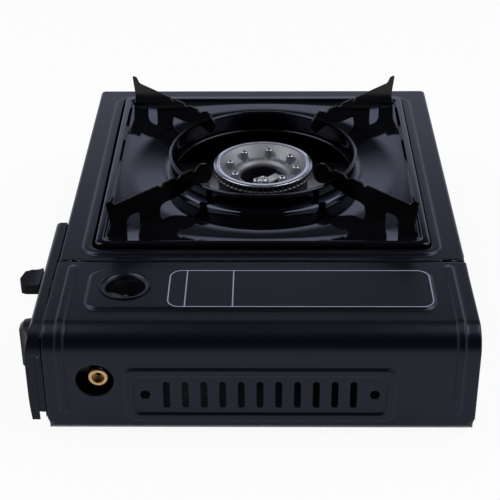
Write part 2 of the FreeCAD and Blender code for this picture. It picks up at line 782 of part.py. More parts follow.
def collar():
    """Wind collar: a spun ring with a flared foot and a rolled upper edge."""
    t = collarSheet
    roll = rollRadius
    r = collarRadius - roll
    top = collarTop - roll
    points = [(collarFoot, collarBase), (collarFoot, collarBase + t), (r + 0.9, collarBase + 3.0),
              (r + t / 2, top), (r - t / 2, top), (r + 0.9 - t, collarBase + 3.0),
              (collarFoot - 3.4, collarBase)]
    wall = turned(points, panX, panY)
    crest = []
    for i in range(rollSides):
        a = 2 * math.pi * (i + 0.5) / rollSides
        crest.append((r + roll * math.cos(a), top + roll * math.sin(a)))
    return wall.fuse(turned(crest, panX, panY)).removeSplitter()


def armOutline():
    """Corner points of one arm, radius from the burner axis and height."""
    floor = panFloor
    pot = floor + armHeight
    tip = pot + armTipRise
    reach = armReach()
    f1 = reach - armFootOuter
    f2 = f1 - archWidth
    f3 = f2 - innerFoot
    low = floor + underside
    inner = armReachIn
    cr = collarRadius - rollRadius
    points = [(reach, floor), (reach - armHollow, floor + 0.45 * armHeight), (reach + 0.4, tip - 1.5),
              (reach + 0.2, tip), (reach - armTipWidth, tip - 0.2), (reach - 2 * armTipWidth, pot)]
    for k in (2, 1, 0):
        c = cr + k * notchPitch
        points += [(c + notchWidth / 2, pot), (c + 0.6, pot - notchDepth), (c - 0.6, pot - notchDepth * 0.8),
                   (c - notchWidth / 2, pot + 0.4)]
    points += [(inner + 6.5, pot + 1.6), (inner + 2.2, pot - 1.2), (inner, pot - 5.0), (inner, pot - 9.5),
               (inner + 2.0, low + 1.0), (inner + 6.0, low - 0.2), (cr - 3.2, low + 1.4)]
    notch = collarTop + gapFit
    points += [(cr - rollRadius - gapFit, low + 2.2), (cr - rollRadius - gapFit, notch),
               (cr + rollRadius + gapFit, notch), (cr + rollRadius + gapFit, low + 0.2),
               (f3 + 4, low), (f3 + 1.2, low - 1.6), (f3, low - 4.5), (f3, floor), (f2, floor),
               (f2, floor + archHeight - 3), (f2 + 2.2, floor + archHeight), (f1 - 3, floor + archHeight),
               (f1, floor + archHeight - 3), (f1, floor)]
    return points


def armReach():
    """Outer end of an arm, held inside the pan's rim on the diagonal."""
    return math.sqrt(2) * (panDepth / 2 - rimWidth - rimDraft) - armSetIn


def supportArm(number):
    """One flat arm standing on the pan floor and straddling the collar."""
    pts = [Vector(r, -armThick / 2, z) for r, z in armOutline()]
    plate = Part.Face(Part.makePolygon(pts + [pts[0]])).extrude(Vector(0, armThick, 0))
    plate.rotate(Vector(0, 0, 0), Vector(0, 0, 1), 45 + 90 * number)
    plate.translate(Vector(panX, panY, 0))
    return plate


def lid():
    """Cartridge lid: bent sheet with label panel, beads, holes, frame and hinge ears."""
    x0 = xSeam + seamGap
    y = yWall
    body = spread(lidBand(0, -sheet, x0, skirtBottom), -y, y)
    labelX = xSeam + labelInset + labelWidth / 2
    raised = stamping(labelX, lidShift, labelWidth, labelDepth, labelCorner, topHeight, labelRise, labelDraft)
    pocket = raised.copy()
    pocket.translate(Vector(0, 0, -sheet))
    body = body.fuse(raised).cut(pocket)
    # raised frame of the side wall round the slotted field
    cz = skirtBottom + frameBase + frameHeight / 2
    frame = stamping(0, 0, frameHeight, frameDepth, frameCorner, 0, frameRise, frameDraft)
    inner = stamping(0, 0, frameHeight - 2 * frameBand - 2 * frameDraft,
                     frameDepth - 2 * frameBand - 2 * frameDraft, frameCorner - 2, 0, frameRise, -frameDraft)
    ring = frame.cut(inner)
    body = body.fuse(toSide(ring, xLid, lidShift, cz)).cut(toSide(ring, xLid - sheet, lidShift, cz))
    for side in (-1, 1):
        c = side * (y - beadInset) + lidShift
        crest = spread(lidBand(beadRise, -sheet, xSeam + beadStart + beadRise, skirtBottom + beadEnd + beadRise),
                       c - beadCrest / 2, c + beadCrest / 2)
        ridge = spread(lidBand(beadRise / 2, -sheet, xSeam + beadStart, skirtBottom + beadEnd),
                       c - beadWidth / 2, c + beadWidth / 2).fuse(crest)
        cave = lidBand(beadRise - sheet, -2 * sheet, xSeam + beadStart + beadRise + sheet,
                       skirtBottom + beadEnd + beadRise + sheet)
        body = body.fuse(ridge).cut(spread(cave, c - beadCrest / 2 + sheet, c + beadCrest / 2 - sheet))
    body = body.fuse([lidEnd(-1), lidEnd(1)])
    holeX = xLid - lidHoleSide
    holeY = -yWall + lidHoleFront
    ztop = topHeight + labelRise
    r = lidHoleRadius
    roll = lidHoleRoll
    body = body.cut(rod(holeX, holeY, topHeight - 8, r + roll, 20, along("z")))
    body = body.fuse(rolledEdge(holeX, holeY, ztop, r, roll))
    hoseY = -yWall + hoseHoleFront
    hoseZ = skirtBottom + hoseHoleHeight - sheet
    body = body.cut(rod(xLid - 5, hoseY, hoseZ, hoseHoleRadius, 10, along("x")))
    cuts = []
    for i in range(slotCount):
        yc = lidShift + (i - (slotCount - 1) / 2) * slotPitch
        half = (slotLength - slotWidth) / 2
        cuts.append(capsule(yc, cz - half, yc, cz + half, slotWidth / 2, xLid - 2, xLid + 2))
    for side in (-1, 1):
        cuts.append(rod(xLid - 2, lidShift + side * endHoleSpan / 2, cz, endHoleRadius, 4, along("x")))
    body = body.cut(cuts)
    for side in (-1, 1):
        corner = plateYZ([(side * (y + 1), skirtBottom - 1), (side * (y + 1), skirtBottom + lidCut),
                          (side * y, skirtBottom + lidCut), (side * (y - lidCut * 0.6), skirtBottom),
                          (side * (y - lidCut * 0.6), skirtBottom - 1)], xLid - 8, 16)
        body = body.cut(corner)
    return body.removeSplitter()


def rolledEdge(x, y, z, radius, roll):
    """Edge of a hole rolled down through a quarter circle, in a few straight steps."""
    outside = []
    inside = []
    for i in range(rollSteps + 1):
        a = math.pi / 2 * i / rollSteps
        outside.append((radius + roll - roll * math.sin(a), z - roll + roll * math.cos(a)))
        k = roll - sheet
        inside.append((radius + roll - k * math.sin(a), z - roll + k * math.cos(a)))
    return turned(outside + inside[::-1], x, y)


def lidEnd(side):
    """Turned-down end of the lid with its hinge ear."""
    y0 = yWall - sheet if side > 0 else -yWall
    x0 = xSeam + seamGap
    full = spread(lidRegion(-sheet / 2, x0, skirtBottom + lidFlange), y0, y0 + sheet)
    core = spread(lidRegion(-sheet - lidFlange, x0 - 1, skirtBottom - 1), y0, y0 + sheet)
    band = full.cut(core)
    ear = rod(hingeX, y0, hingeZ, lugRadius, sheet, along("y"))
    ear = ear.fuse(block(hingeX - hingeBack + seamGap, hingeX + lugRadius, y0, y0 + sheet, hingeZ,
                         topHeight - sheet / 2))
    band = band.fuse(ear)
    return band.cut(rod(hingeX, y0 - 1, hingeZ, hingePinRadius + runningFit, 3, along("y")))


def hingePins():
    """Two headed pins pressed into the bay walls, one for each ear of the lid."""
    pins = []
    for side in (-1, 1):
        inner = side * (bayInner - 1.0)
        reach = yWall - bayInner + 1.0 - 0.1
        pin = rod(hingeX, inner, hingeZ, hingePinRadius, reach, Vector(0, side, 0))
        head = rod(hingeX, inner, hingeZ, hingePinRadius * 2, 1.0, Vector(0, side, 0))
        pins.append(pin.fuse(head).removeSplitter())
    return Part.makeCompound(pins)


def panelSection(inset):
    """Outline of the control panel in Y and Z, drawn in by inset."""
    y = yWall
    t = inset
    top = topHeight - t
    back = -y if t == 0 else -y + 1
    low = skirtBottom - (1 if t else 0)
    return [Vector(0, back, top), Vector(0, -y - panelTopLand + t / 2, top),
            Vector(0, -y - panelShoulder + t, topHeight - panelShoulderDrop - t / 2),
            Vector(0, -y - panelBulge + t, topHeight - panelBellyDrop),
            Vector(0, -y - panelBulge + t, skirtBottom + 22),
            Vector(0, -y - panelLower + t, low), Vector(0, back, low)]


def panelSolid(inset):
    """Panel block: its section along X met by its rounded end seen from the front."""
    x0 = xLid - panelLength + inset
    pts = [p + Vector(x0, 0, 0) for p in panelSection(inset)]
    edges = [Part.LineSegment(pts[0], pts[1]).toShape()]
    m = (pts[1] + pts[2]) * 0.5 + Vector(0, -0.9, 0.9)
    edges.append(Part.Arc(pts[1], m, pts[2]).toShape())
    m = (pts[2] + pts[3]) * 0.5 + Vector(0, -0.5, 0)
    edges.append(Part.Arc(pts[2], m, pts[3]).toShape())
    edges.append(Part.LineSegment(pts[3], pts[4]).toShape())
    m = (pts[4] + pts[5]) * 0.5 + Vector(0, -0.3, 0)
    edges.append(Part.Arc(pts[4], m, pts[5]).toShape())
    edges.append(Part.LineSegment(pts[5], pts[6]).toShape())
    edges.append(Part.LineSegment(pts[6], pts[0]).toShape())
    bar = Part.Face(Part.Wire(edges)).extrude(Vector(panelLength + 5, 0, 0))
    end = spread(lidRegion(-inset, x0 - 1, skirtBottom - 2), -yWall - 30, -yWall + 2)
    return bar.common(end)


def frontPanel():
    """Bowed control panel with a closed left end, a bent top and a side flange at the lid."""
    panel = panelSolid(0).cut(panelSolid(sheet))
    panel = panel.cut(rod(knobX, -yWall - 20, knobHeight, spindleHole, 30, along("y")))
    panel = panel.cut(leverSlot(-yWall - 20, -yWall + 1))
    # the inner strip of the side flange is set back, has a pin hole and stops short of the lower edge
    y = -yWall - flangeStrip
    panel = panel.cut(block(xLid - flangeStep, xLid + 1, y, -yWall + 1, skirtBottom - 1, topHeight - lidBend))
    panel = panel.cut(block(xLid - 2, xLid + 1, y, -yWall + 1, skirtBottom - 1, skirtBottom + flangeNotch))
    panel = panel.cut(rod(xLid - 2, y + flangeStrip / 2, flangeHoleHeight, flangeHole, 4, along("x")))
    # room for the lid's end
    room = block(xSeam - 0.5, xLid + 1, -yWall - gapFit, -yWall + 2, skirtBottom - 1, topHeight + 1)
    return panel.cut(room).removeSplitter()


def knob():
    """Round control knob with a grip bar between two scoops."""
    back = yWall + panelBulge + knobGap
    depth = yWall + knobReach - back
    body = rod(knobX, -back, knobHeight, knobRadius, depth, Vector(0, -1, 0))
    face = [e for e in body.Edges if abs(e.CenterOfMass.y + back + depth) < 0.01]
    body = body.makeChamfer(min(knobEdge, depth * 0.4), face)
    for side in (-1, 1):
        x = knobX + side * (knobGrip / 2 + scoopRadius)
        body = body.cut(rod(x, -back - depth - scoopRadius + scoopDepth, knobHeight - knobRadius,
                            scoopRadius, 2 * knobRadius, along("z")))
    hub = rod(knobX, -yBay - 3, knobHeight, spindleRadius + 1.2, back - yBay - 3, Vector(0, -1, 0))
    body = body.fuse(hub)
    return body.cut(rod(knobX, -yBay, knobHeight, spindleRadius, back - yBay + 3, Vector(0, -1, 0)))


def spindle():
    """Valve spindle from the knob into the valve block, with a collar at the wall."""
    tip = yWall + panelBulge + knobGap + 3
    deep = bayInner - 15
    return rod(knobX, -tip, knobHeight, spindleRadius, tip - deep, along("y"))


def lever():
    """Lever plate with the inclined cam slot and the neck through wall and panel."""
    front = -bayInner + 1.0
    pinY = camPlace()[0]
    pinZ = camHeight
    tip = -yWall - leverReach + 4.0
    plate = plateYZ([(tip, neckLow), (tip, neckTop), (front + 20, neckTop), (pinY + 7, pinZ + 8),
                     (pinY + 7, pinZ - 5), (pinY - 6, pinZ - 5), (front, pinZ + 6), (front, neckLow)],
                    leverX - leverThick / 2, leverThick)
    slot = capsule(pinY, pinZ, pinY - pusherTravel, pinZ + leverTravel, camPinRadius + 0.25,
                   leverX - 2, leverX + 2)
    return plate.cut(slot)


def camPlace():
    """Cam pin at rest."""
    return (-bayInner + camBack, camHeight)


def leverTab():
    """Moulded finger tab on the lever, with a hollow top and a cut outer corner."""
    x0 = leverX - leverTabShift - leverTabWidth / 2 + 1
    x1 = x0 + leverTabWidth
    y1 = -yWall - panelBulge - 1.0
    y0 = -yWall - leverReach
    top = topHeight - leverTop
    low = top - leverTabHeight
    pts = [Vector(x0, y1, low), Vector(x0, y0 + 5.5, low), Vector(x0 + 3.5, y0 + 2.0, low),
           Vector(x1 - 6, y0, low), Vector(x1 - 1.5, y0 + 1.2, low), Vector(x1, y0 + 4, low), Vector(x1, y1, low)]
    tab = Part.Face(Part.makePolygon(pts + [pts[0]])).extrude(Vector(0, 0, leverTabHeight))
    scoop = rod(x0 - 1, (y0 + y1) / 2 + 0.5, top + 12.0, 13.6, leverTabWidth + 2, along("x"))
    tab = tab.cut(scoop)
    half = leverThick / 2
    return tab.cut(block(leverX - half, leverX + half, y0 + 4.0, y1 + 1, neckLow, neckTop))


def pusher():
    """Sliding bar with the cam pin in front and an upturned plate behind the cartridge."""
    pinY = camPlace()[0]
    x0 = pusherX
    x1 = pusherX + pusherThick
    bar = block(x0, x1, pinY - 4, pusherRest + pusherPlateThick, pusherBase, pusherBase + pusherHeight)
    arm = block(x0, x1, pinY - 4, pinY + 4, pusherBase, camHeight + 4)
    plate = block(x0, x0 + pusherPlateWidth, pusherRest, pusherRest + pusherPlateThick, pusherBase,
                  pusherPlateTop)
    pin = rod(leverX - leverThick / 2 - 0.6, pinY, camHeight, camPinRadius,
              x0 - leverX + leverThick / 2 + 0.6, along("x"))
    return bar.fuse([arm, plate, pin]).removeSplitter()


def pusherGuides():
    """Two brackets on the partition that hold the sliding bar."""
    guides = []
    for y in (-bayInner * 0.3, bayInner * 0.6):
        plate = block(partitionX + sheet, pusherX + pusherThick + 1.4, y, y + guideThick, floorTop,
                      pusherBase + pusherHeight + 3)
        plate = plate.cut(block(pusherX - gapFit, pusherX + pusherThick + gapFit, y - 1, y + guideThick + 1,
                                pusherBase - gapFit, pusherBase + pusherHeight + gapFit))
        guides.append(plate)
    return Part.makeCompound(guides)


def valveBlock():
    """Cast valve and regulator body with spindle bore and socket boss."""
    body = block(valveX0, valveX1, valveY0, valveY1, valveZ0, valveZ1)
    body = body.makeFillet(valveRound, [e for e in body.Edges if abs(e.CenterOfMass.y - (valveY0 + valveY1) / 2)
                                        < 0.01])
    boss = rod(cartridgeX, valveY1, cartridgeZ, socketRadius + 4, 3, along("y"))
    deck = rod(regulatorX(), valveY0 + regulatorBack, inletHeight, regulatorRadius - 3,
               valveHeight / 2 + 2, along("z"))
    deck = deck.common(block(valveX0 - 20, valveX1, valveY0, valveY1 + 2.5, valveZ1 - 4,
                             valveZ1 + 4))
    body = body.fuse([boss, deck])
    body = body.cut(rod(knobX, valveY0 - 1, knobHeight, spindleRadius + runningFit, 17, along("y")))
    body = body.cut(rod(cartridgeX, valveY1 - 3, cartridgeZ, socketRadius, 10, along("y")))
    for x, z in valveScrewPlaces():
        body = body.cut(rod(x, valveY0, z, screwRadius, valveScrewGrip, along("y")))
    body = body.cut(rod(valveX1 - 6, inletY, inletHeight, inletRadius - 1.3, 10, along("x")))
    return body.cut(rod(valveX0 - 1, inletY, inletHeight, jetRadius - 1.2, 6, along("x")))


def regulatorX():
    return xLid - lidHoleSide - 2.0


def regulator():
    """Round regulator cover on the valve block, with a domed cap."""
    x = regulatorX()
    y = valveY0 + regulatorBack
    z = valveZ1 + 2
    r = regulatorRadius
    points = [(0, z), (r, z), (r, z + 4), (r - 1, z + 5), (r * 0.7, z + 5), (r * 0.62, z + 8.5),
              (r * 0.3, z + regulatorHeight - 1), (r * 0.22, z + regulatorHeight), (0, z + regulatorHeight)]
    cover = turned(points, x, y)
    for px, py in regulatorHoles():
        cover = cover.cut(rod(px, py, z, screwRadius, 10, along("z")))
    return cover


def regulatorHoles():
    places = []
    for i in range(4):
        a = math.radians(45 + 90 * i)
        d = regulatorRadius * 0.86
        places.append((regulatorX() + d * math.cos(a), valveY0 + regulatorBack + d * math.sin(a)))
    return places


def regulatorScrews():
    screws = []
    z = valveZ1 + 2
    for px, py in regulatorHoles():
        shank = rod(px, py, z, screwRadius, 5.0, along("z"))
        head = rod(px, py, z + 5.0, screwRadius * 1.7, screwHeadHigh, along("z"))
        screws.append(shank.fuse(head).removeSplitter())
    return Part.makeCompound(screws)


def socket():
    """Brass socket that takes the cartridge's nozzle."""
    y0 = valveY1 - 3
    body = rod(cartridgeX, y0, cartridgeZ, socketRadius, socketLength, along("y"))
    body = body.cut(rod(cartridgeX, y0 + 2, cartridgeZ, socketBore, socketLength, along("y")))
    return body.cut(rod(cartridgeX, y0 - 1, cartridgeZ, 1.2, 4, along("y")))


def inlet():
    """Brass hose inlet with a hexagon at the block and a stepped bore."""
    x1 = xLid - sheet - inletStop
    neck = rod(valveX1 - 6, inletY, inletHeight, inletRadius - 1.3, 8, along("x"))
    hexagon = Part.Face(Part.makePolygon([hexPoint(i, valveX1) for i in range(7)])).extrude(Vector(4, 0, 0))
    nose = rod(valveX1 + 4, inletY, inletHeight, inletRadius, x1 - valveX1 - 4, along("x"))
    rim = [e for e in nose.Edges if abs(e.CenterOfMass.x - x1) < 0.01]
    nose = nose.makeChamfer(0.8, rim)
    body = neck.fuse([hexagon, nose])
    body = body.cut(rod(x1 - 4, inletY, inletHeight, inletBore, 6, along("x")))
    return body.cut(rod(valveX1 - 7, inletY, inletHeight, 1.6, 30, along("x"))).removeSplitter()


def hexPoint(i, x):
    a = math.radians(60 * i)
    r = inletRadius + 1.9
    return Vector(x, inletY + r * math.cos(a), inletHeight + r * math.sin(a))


def jet():
    """Brass jet on the valve block, its tip in the mouth of the mixing tube."""
    stem = rod(valveX0 + 5, inletY, inletHeight, jetRadius - 1.2, 6, Vector(-1, 0, 0))
    hexBody = rod(valveX0, inletY, inletHeight, jetRadius, 4, Vector(-1, 0, 0))
    reach = valveX0 - 4 - (partitionX + 11)
    tip = Part.makeCone(jetRadius - 1.0, 1.6, reach, Vector(valveX0 - 4, inletY, inletHeight), Vector(-1, 0, 0))
    return stem.fuse([hexBody, tip]).removeSplitter()


def igniter():
    """Piezo igniter under the valve block."""
    x0 = valveX0 + 4
    y0 = -bayInner
    z1 = valveZ0
    body = block(x0, x0 + igniterWidth, y0, y0 + igniterLength, z1 - igniterHeight, z1)
    body = body.makeFillet(1.5, [e for e in body.Edges if abs(e.CenterOfMass.y - y0 - igniterLength / 2) < 0.01])
    nose = rod(x0, leadPoints()[0].y, leadPoints()[0].z, leadRadius + 1.0, 2.5, Vector(-1, 0, 0))
    return body.fuse(nose).removeSplitter()


def electrodePlace():
    """Foot of the ignition electrode beside the crown."""
    return Vector(panX + 3.0, panY - crownRadius - electrodeGap - electrodeRadius, shelfTop)


def leadPoints():
    """Route of the ignition lead from the igniter to the electrode."""
    e = electrodePlace()
    y = inletY - leadAside
    low = floorTop + leadRise
    return [Vector(valveX0 + 4 - 2.5, y, leadHeight), Vector(partitionX - leadRun, y, leadHeight),
            Vector((partitionX - leadRun + e.x) / 2, (y + e.y) / 2 - 4, (leadHeight + low) / 2),
            Vector(e.x, e.y, low), Vector(e.x, e.y, shelfTop + 8)]


def ignitionLead():
    return pipe(softPath(leadPoints()), leadRadius)


def electrode():
    """Ceramic body with its pointed wire, leaning to the crown's edge."""
    e = electrodePlace()
    z1 = crownBase - 2
    ceramic = rod(e.x, e.y, shelfTop + 8, electrodeRadius, z1 - shelfTop - 8, along("z"))
    wire = rod(e.x, e.y, z1, 0.7, 4.5, along("z"))
    tip = rod(e.x, e.y, z1 + 4.0, 0.7, electrodeGap + electrodeRadius - 2.2, along("y"))
    return ceramic.fuse([wire, tip]).removeSplitter()


def electrodeBracket():
    """Bent strip from the shelf that clips round the ceramic."""
    e = electrodePlace()
    w = 5.0
    x0 = e.x - w
    x1 = e.x + w
    y0 = e.y - electrodeRadius - 1.6
    top = crownBase - 4
    foot = block(x0, x1, y0 - 8, y0, shelfTop, shelfTop + 1)
    back = block(x0, x1, y0 - 1, y0, shelfTop, top)
    clip = block(x0, x1, y0, e.y + electrodeRadius + 1, top - 8, top)
    clip = clip.cut(rod(e.x, e.y, top - 9, electrodeRadius, 10, along("z")))
    return foot.fuse([back, clip]).removeSplitter()


def guidePlate():
    """Upright plate in front of the valve that centres the cartridge's collar."""
    y0 = valveY1 + 3
    x0 = cartridgeX - cartridgeRadius * 0.85
    x1 = cartridgeX + cartridgeRadius * 0.85
    plate = block(x0, x1, y0, y0 + guideThick, floorTop, valveZ1 - 1.0)
    plate = plate.cut(rod(cartridgeX, y0 - 1, cartridgeZ, socketRadius + gapFit, 4, along("y")))
    foot = block(x0, x1, y0, y0 + 8, floorTop, floorTop + guideThick)
    return plate.fuse(foot).removeSplitter()


def baseScrews():
    """Screws from below through the tray into the shelf's flanges."""
    screws = []
    for x, y in screwPlaces():
        shank = rod(x, y, floorHeight, screwRadius, sheet + shelfSheet + 1.5, along("z"))
        head = rod(x, y, floorHeight - screwHeadHigh, screwHead, screwHeadHigh, along("z"))
        screws.append(shank.fuse(head).removeSplitter())
    return Part.makeCompound(screws)


def valveScrewPlaces():
    return [(knobX + side * valveScrewSpan / 2, knobHeight - valveScrewDrop) for side in (-1, 1)]


def valveScrews():
    """Screws through the front bay wall into the valve block."""
    screws = []
    for x, z in valveScrewPlaces():
        shank = rod(x, -yBay, z, screwRadius, sheet + valveScrewGrip, along("y"))
        head = rod(x, -yBay, z, screwHead, screwHeadHigh, Vector(0, -1, 0))
        screws.append(shank.fuse(head).removeSplitter())
    return Part.makeCompound(screws)


def build():
    os.makedirs("parts", exist_ok=True)
    nodes = [("top_shell", topShell), ("base_tray", baseTray), ("partition", partition), ("shelf", shelf),
             ("burner_stand", burnerStand), ("burner_crown", crown), ("gas_chamber", chamber),
             ("burner_strap", strap), ("burner_screw", burnerScrew), ("mixing_tube", mixingTube),
             ("drip_pan", dripPan), ("wind_collar", collar), ("cartridge_lid", lid),
             ("hinge_pins", hingePins), ("front_panel", frontPanel), ("control_knob", knob),
             ("valve_spindle", spindle), ("lever_plate", lever), ("lever_tab", leverTab),
             ("cartridge_pusher", pusher), ("pusher_guides", pusherGuides), ("valve_block", valveBlock),
             ("regulator", regulator), ("regulator_screws", regulatorScrews), ("cartridge_socket", socket),
             ("hose_inlet", inlet), ("gas_jet", jet), ("igniter", igniter), ("ignition_lead", ignitionLead),
             ("electrode", electrode), ("electrode_bracket", electrodeBracket), ("guide_plate", guidePlate),
             ("base_screws", baseScrews), ("valve_screws", valveScrews)]
    for node, make in nodes:
        save(make(), node)
    for number in range(4):
        save(supportArm(number), "support_arm_" + str(number + 1))


build()
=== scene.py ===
import math

import bmesh
import bpy
import numpy as np
from mathutils import Matrix, Vector


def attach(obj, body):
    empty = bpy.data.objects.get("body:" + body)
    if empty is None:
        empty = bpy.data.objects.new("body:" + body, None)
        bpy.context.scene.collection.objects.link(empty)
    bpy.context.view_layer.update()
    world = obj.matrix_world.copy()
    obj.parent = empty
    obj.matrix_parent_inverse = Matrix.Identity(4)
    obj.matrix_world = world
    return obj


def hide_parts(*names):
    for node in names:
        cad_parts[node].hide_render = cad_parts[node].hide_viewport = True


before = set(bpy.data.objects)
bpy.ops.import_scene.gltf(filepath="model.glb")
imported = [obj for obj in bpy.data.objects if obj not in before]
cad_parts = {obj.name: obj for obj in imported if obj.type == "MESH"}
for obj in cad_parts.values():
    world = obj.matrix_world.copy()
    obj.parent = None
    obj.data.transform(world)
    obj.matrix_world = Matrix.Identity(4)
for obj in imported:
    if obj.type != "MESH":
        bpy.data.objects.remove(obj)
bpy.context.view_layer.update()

# Butane cassette stove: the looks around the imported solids, sizes in millimetres

mm = 0.001
mergeReach = 2e-6  # corners nearer than this, in metres, become one


def meshPoints(mesh):  # every vertex, in millimetres
    flat = np.empty(len(mesh.vertices) * 3)
    mesh.vertices.foreach_get("co", flat)
    return flat.reshape(-1, 3) / mm


def nodeBox(node):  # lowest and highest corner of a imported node
    points = meshPoints(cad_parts[node].data)
    return points.min(0), points.max(0)


shellBox, panBox, lidBox = nodeBox("top_shell"), nodeBox("drip_pan"), nodeBox("cartridge_lid")
inletBox, crownBox = nodeBox("hose_inlet"), nodeBox("burner_crown")
stamped = {"land": 1.6, "frame": 1.5}  # how far the top's land and the lid's side frame stand out
place = {"panX": (panBox[0][0] + panBox[1][0]) / 2, "panY": (panBox[0][1] + panBox[1][1]) / 2,
         "panTop": panBox[1][2], "far": shellBox[0][0], "seam": shellBox[1][0],
         "front": shellBox[0][1], "back": shellBox[1][1], "low": shellBox[0][2],
         "top": shellBox[1][2] - stamped["land"], "side": lidBox[1][0] - stamped["frame"],
         "inletY": (inletBox[0][1] + inletBox[1][1]) / 2, "inletZ": (inletBox[0][2] + inletBox[1][2]) / 2,
         "inletTip": inletBox[1][0], "crownTop": crownBox[1][2]}
place["midY"] = (place["front"] + place["back"]) / 2
print("places read from the frame")


# Mesh helpers

def mergeDoubles(source, target, flatAngle=0, outwards=False):
    # writes a mesh with its doubles merged; faces within the flat angle of each other become one
    work = bmesh.new()
    work.from_mesh(source)
    bmesh.ops.remove_doubles(work, verts=work.verts, dist=mergeReach)
    if flatAngle:
        bmesh.ops.dissolve_limit(work, angle_limit=math.radians(flatAngle), verts=work.verts,
                                 edges=work.edges)
    if outwards:
        bmesh.ops.recalc_face_normals(work, faces=work.faces)
    work.to_mesh(target)
    work.free()


def addPiece(name, mesh, material, body, node=None, slotName=None):
    # smooth piece that rides on a body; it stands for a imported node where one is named
    mesh.polygons.foreach_set("use_smooth", np.ones(len(mesh.polygons), bool))
    mesh.materials.append(material)
    piece = bpy.data.objects.new(name, mesh)
    bpy.context.scene.collection.objects.link(piece)
    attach(piece, body)
    if node:
        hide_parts(node)
    return piece


def addMesh(name, points, faces, material, body, **more):
    # points in millimetres, faces as rows of indices; doubles merged, normals outwards
    mesh = bpy.data.meshes.new(name)
    rows = faces.tolist() if isinstance(faces, np.ndarray) else faces
    mesh.from_pydata((np.asarray(points, float) * mm).tolist(), [], rows)
    mesh.validate()
    mergeDoubles(mesh, mesh, outwards=True)
    return addPiece(name, mesh, material, body, **more)


def faceValues(piece, what):  # the center or the normal of every face
    flat = np.empty(len(piece.data.polygons) * 3)
    piece.data.polygons.foreach_get(what, flat)
    return flat.reshape(-1, 3)


def faceCentres(piece):  # middle of every face, in millimetres
    return faceValues(piece, "center") / mm


def faceUp(piece):  # turns the normals over where they point down on the whole
    if faceValues(piece, "normal")[:, 2].sum() < 0:
        piece.data.flip_normals()


def gridFaces(rows, cols, wrap=False, keep=None):
    # quads between neighbouring rows and columns; wrap joins the last column to the first
    i, j = np.meshgrid(np.arange(rows - 1), np.arange(cols if wrap else cols - 1), indexing="ij")
    nextJ = (j + 1) % cols
    quads = np.stack([i * cols + j, (i + 1) * cols + j, (i + 1) * cols + nextJ, i * cols + nextJ], -1)
    if keep is not None:
        quads = quads[keep]
    return quads.reshape(-1, 4)


def softenEdges(piece, width=0.25, angle=35):
    bevel = piece.modifiers.new("edge", "BEVEL")
    bevel.width = width * mm
    bevel.segments = 2
    bevel.limit_method = "ANGLE"
    bevel.angle_limit = math.radians(angle)
    flat = piece.modifiers.new("flat", "WEIGHTED_NORMAL")
    flat.keep_sharp = True


def thicken(piece, thick, offset=-1.0):
    wall = piece.modifiers.new("sheet", "SOLIDIFY")
    wall.thickness = thick * mm
    wall.offset = offset
    wall.use_even_offset = True


def smoothStep(x):  # 0 below 0, 1 above 1, and 3x^2 - 2x^3 between
    x = np.clip(x, 0, 1)
    return x * x * (3 - 2 * x)


def roundBox(x, y, halfX, halfY, corner):
    # distance from a rectangle with round corners, negative inside it
    qx, qy = np.abs(x) - halfX + corner, np.abs(y) - halfY + corner
    return np.hypot(np.maximum(qx, 0), np.maximum(qy, 0)) + np.minimum(np.maximum(qx, qy), 0) - corner


def slotDistance(x, y, ax, ay, bx, by):
    # distance from a straight run a to b: the foot of the point is a + t (b - a), t held between 0 and 1
    px, py, dx, dy = x - ax, y - ay, bx - ax, by - ay
    t = np.clip((px * dx + py * dy) / (dx * dx + dy * dy), 0, 1)
    return np.hypot(px - t * dx, py - t * dy)


def spacedLines(start, stop, coarse, zones):
    # grid lines a coarse step apart, and a finer step apart inside each zone (from, to, step)
    fine = np.linspace(start, stop, 6001)
    step = np.full_like(fine, coarse)
    for a, b, small in zones:
        step = np.where((fine > a) & (fine < b), np.minimum(step, small), step)
    count = np.concatenate([[0], np.cumsum(np.diff(fine) / step[1:])])
    return np.interp(np.linspace(0, count[-1], int(round(count[-1])) + 1), count, fine)


def cutHoles(gridS, gridT, distance, reach):
    # grid points nearer to a hole's edge than reach move onto it along the distance's slope,
    # and a cell stays when its middle is outside every hole
    h = 0.02
    d = distance(gridS, gridT)
    slopeS = (distance(gridS + h, gridT) - distance(gridS - h, gridT)) / (2 * h)
    slopeT = (distance(gridS, gridT + h) - distance(gridS, gridT - h)) / (2 * h)
    move = np.where(np.abs(d) < reach, d, 0)
    newS, newT = gridS - slopeS * move, gridT - slopeT * move
    midS = (newS[:-1, :-1] + newS[1:, :-1] + newS[:-1, 1:] + newS[1:, 1:]) / 4
    midT = (newT[:-1, :-1] + newT[1:, :-1] + newT[:-1, 1:] + newT[1:, 1:]) / 4
    return newS, newT, distance(midS, midT) > 0


def revolve(name, profile, centre, steps, material, body, axis="z", **more):
    # radius and height pairs carried once round an axis: r cos a, r sin a, height
    profile = np.asarray(profile, float)
    a = np.linspace(0, 2 * np.pi, steps, endpoint=False)
    r, h = profile[:, :1], profile[:, 1:]
    local = np.stack([r * np.cos(a), r * np.sin(a), h + 0 * a], -1)
    local = local[..., {"z": [0, 1, 2], "x": [2, 0, 1], "y": [1, 2, 0]}[axis]]
    points = (local + np.asarray(centre, float)).reshape(-1, 3)
    return addMesh(name, points, gridFaces(len(profile), steps, wrap=True), material, body, **more)


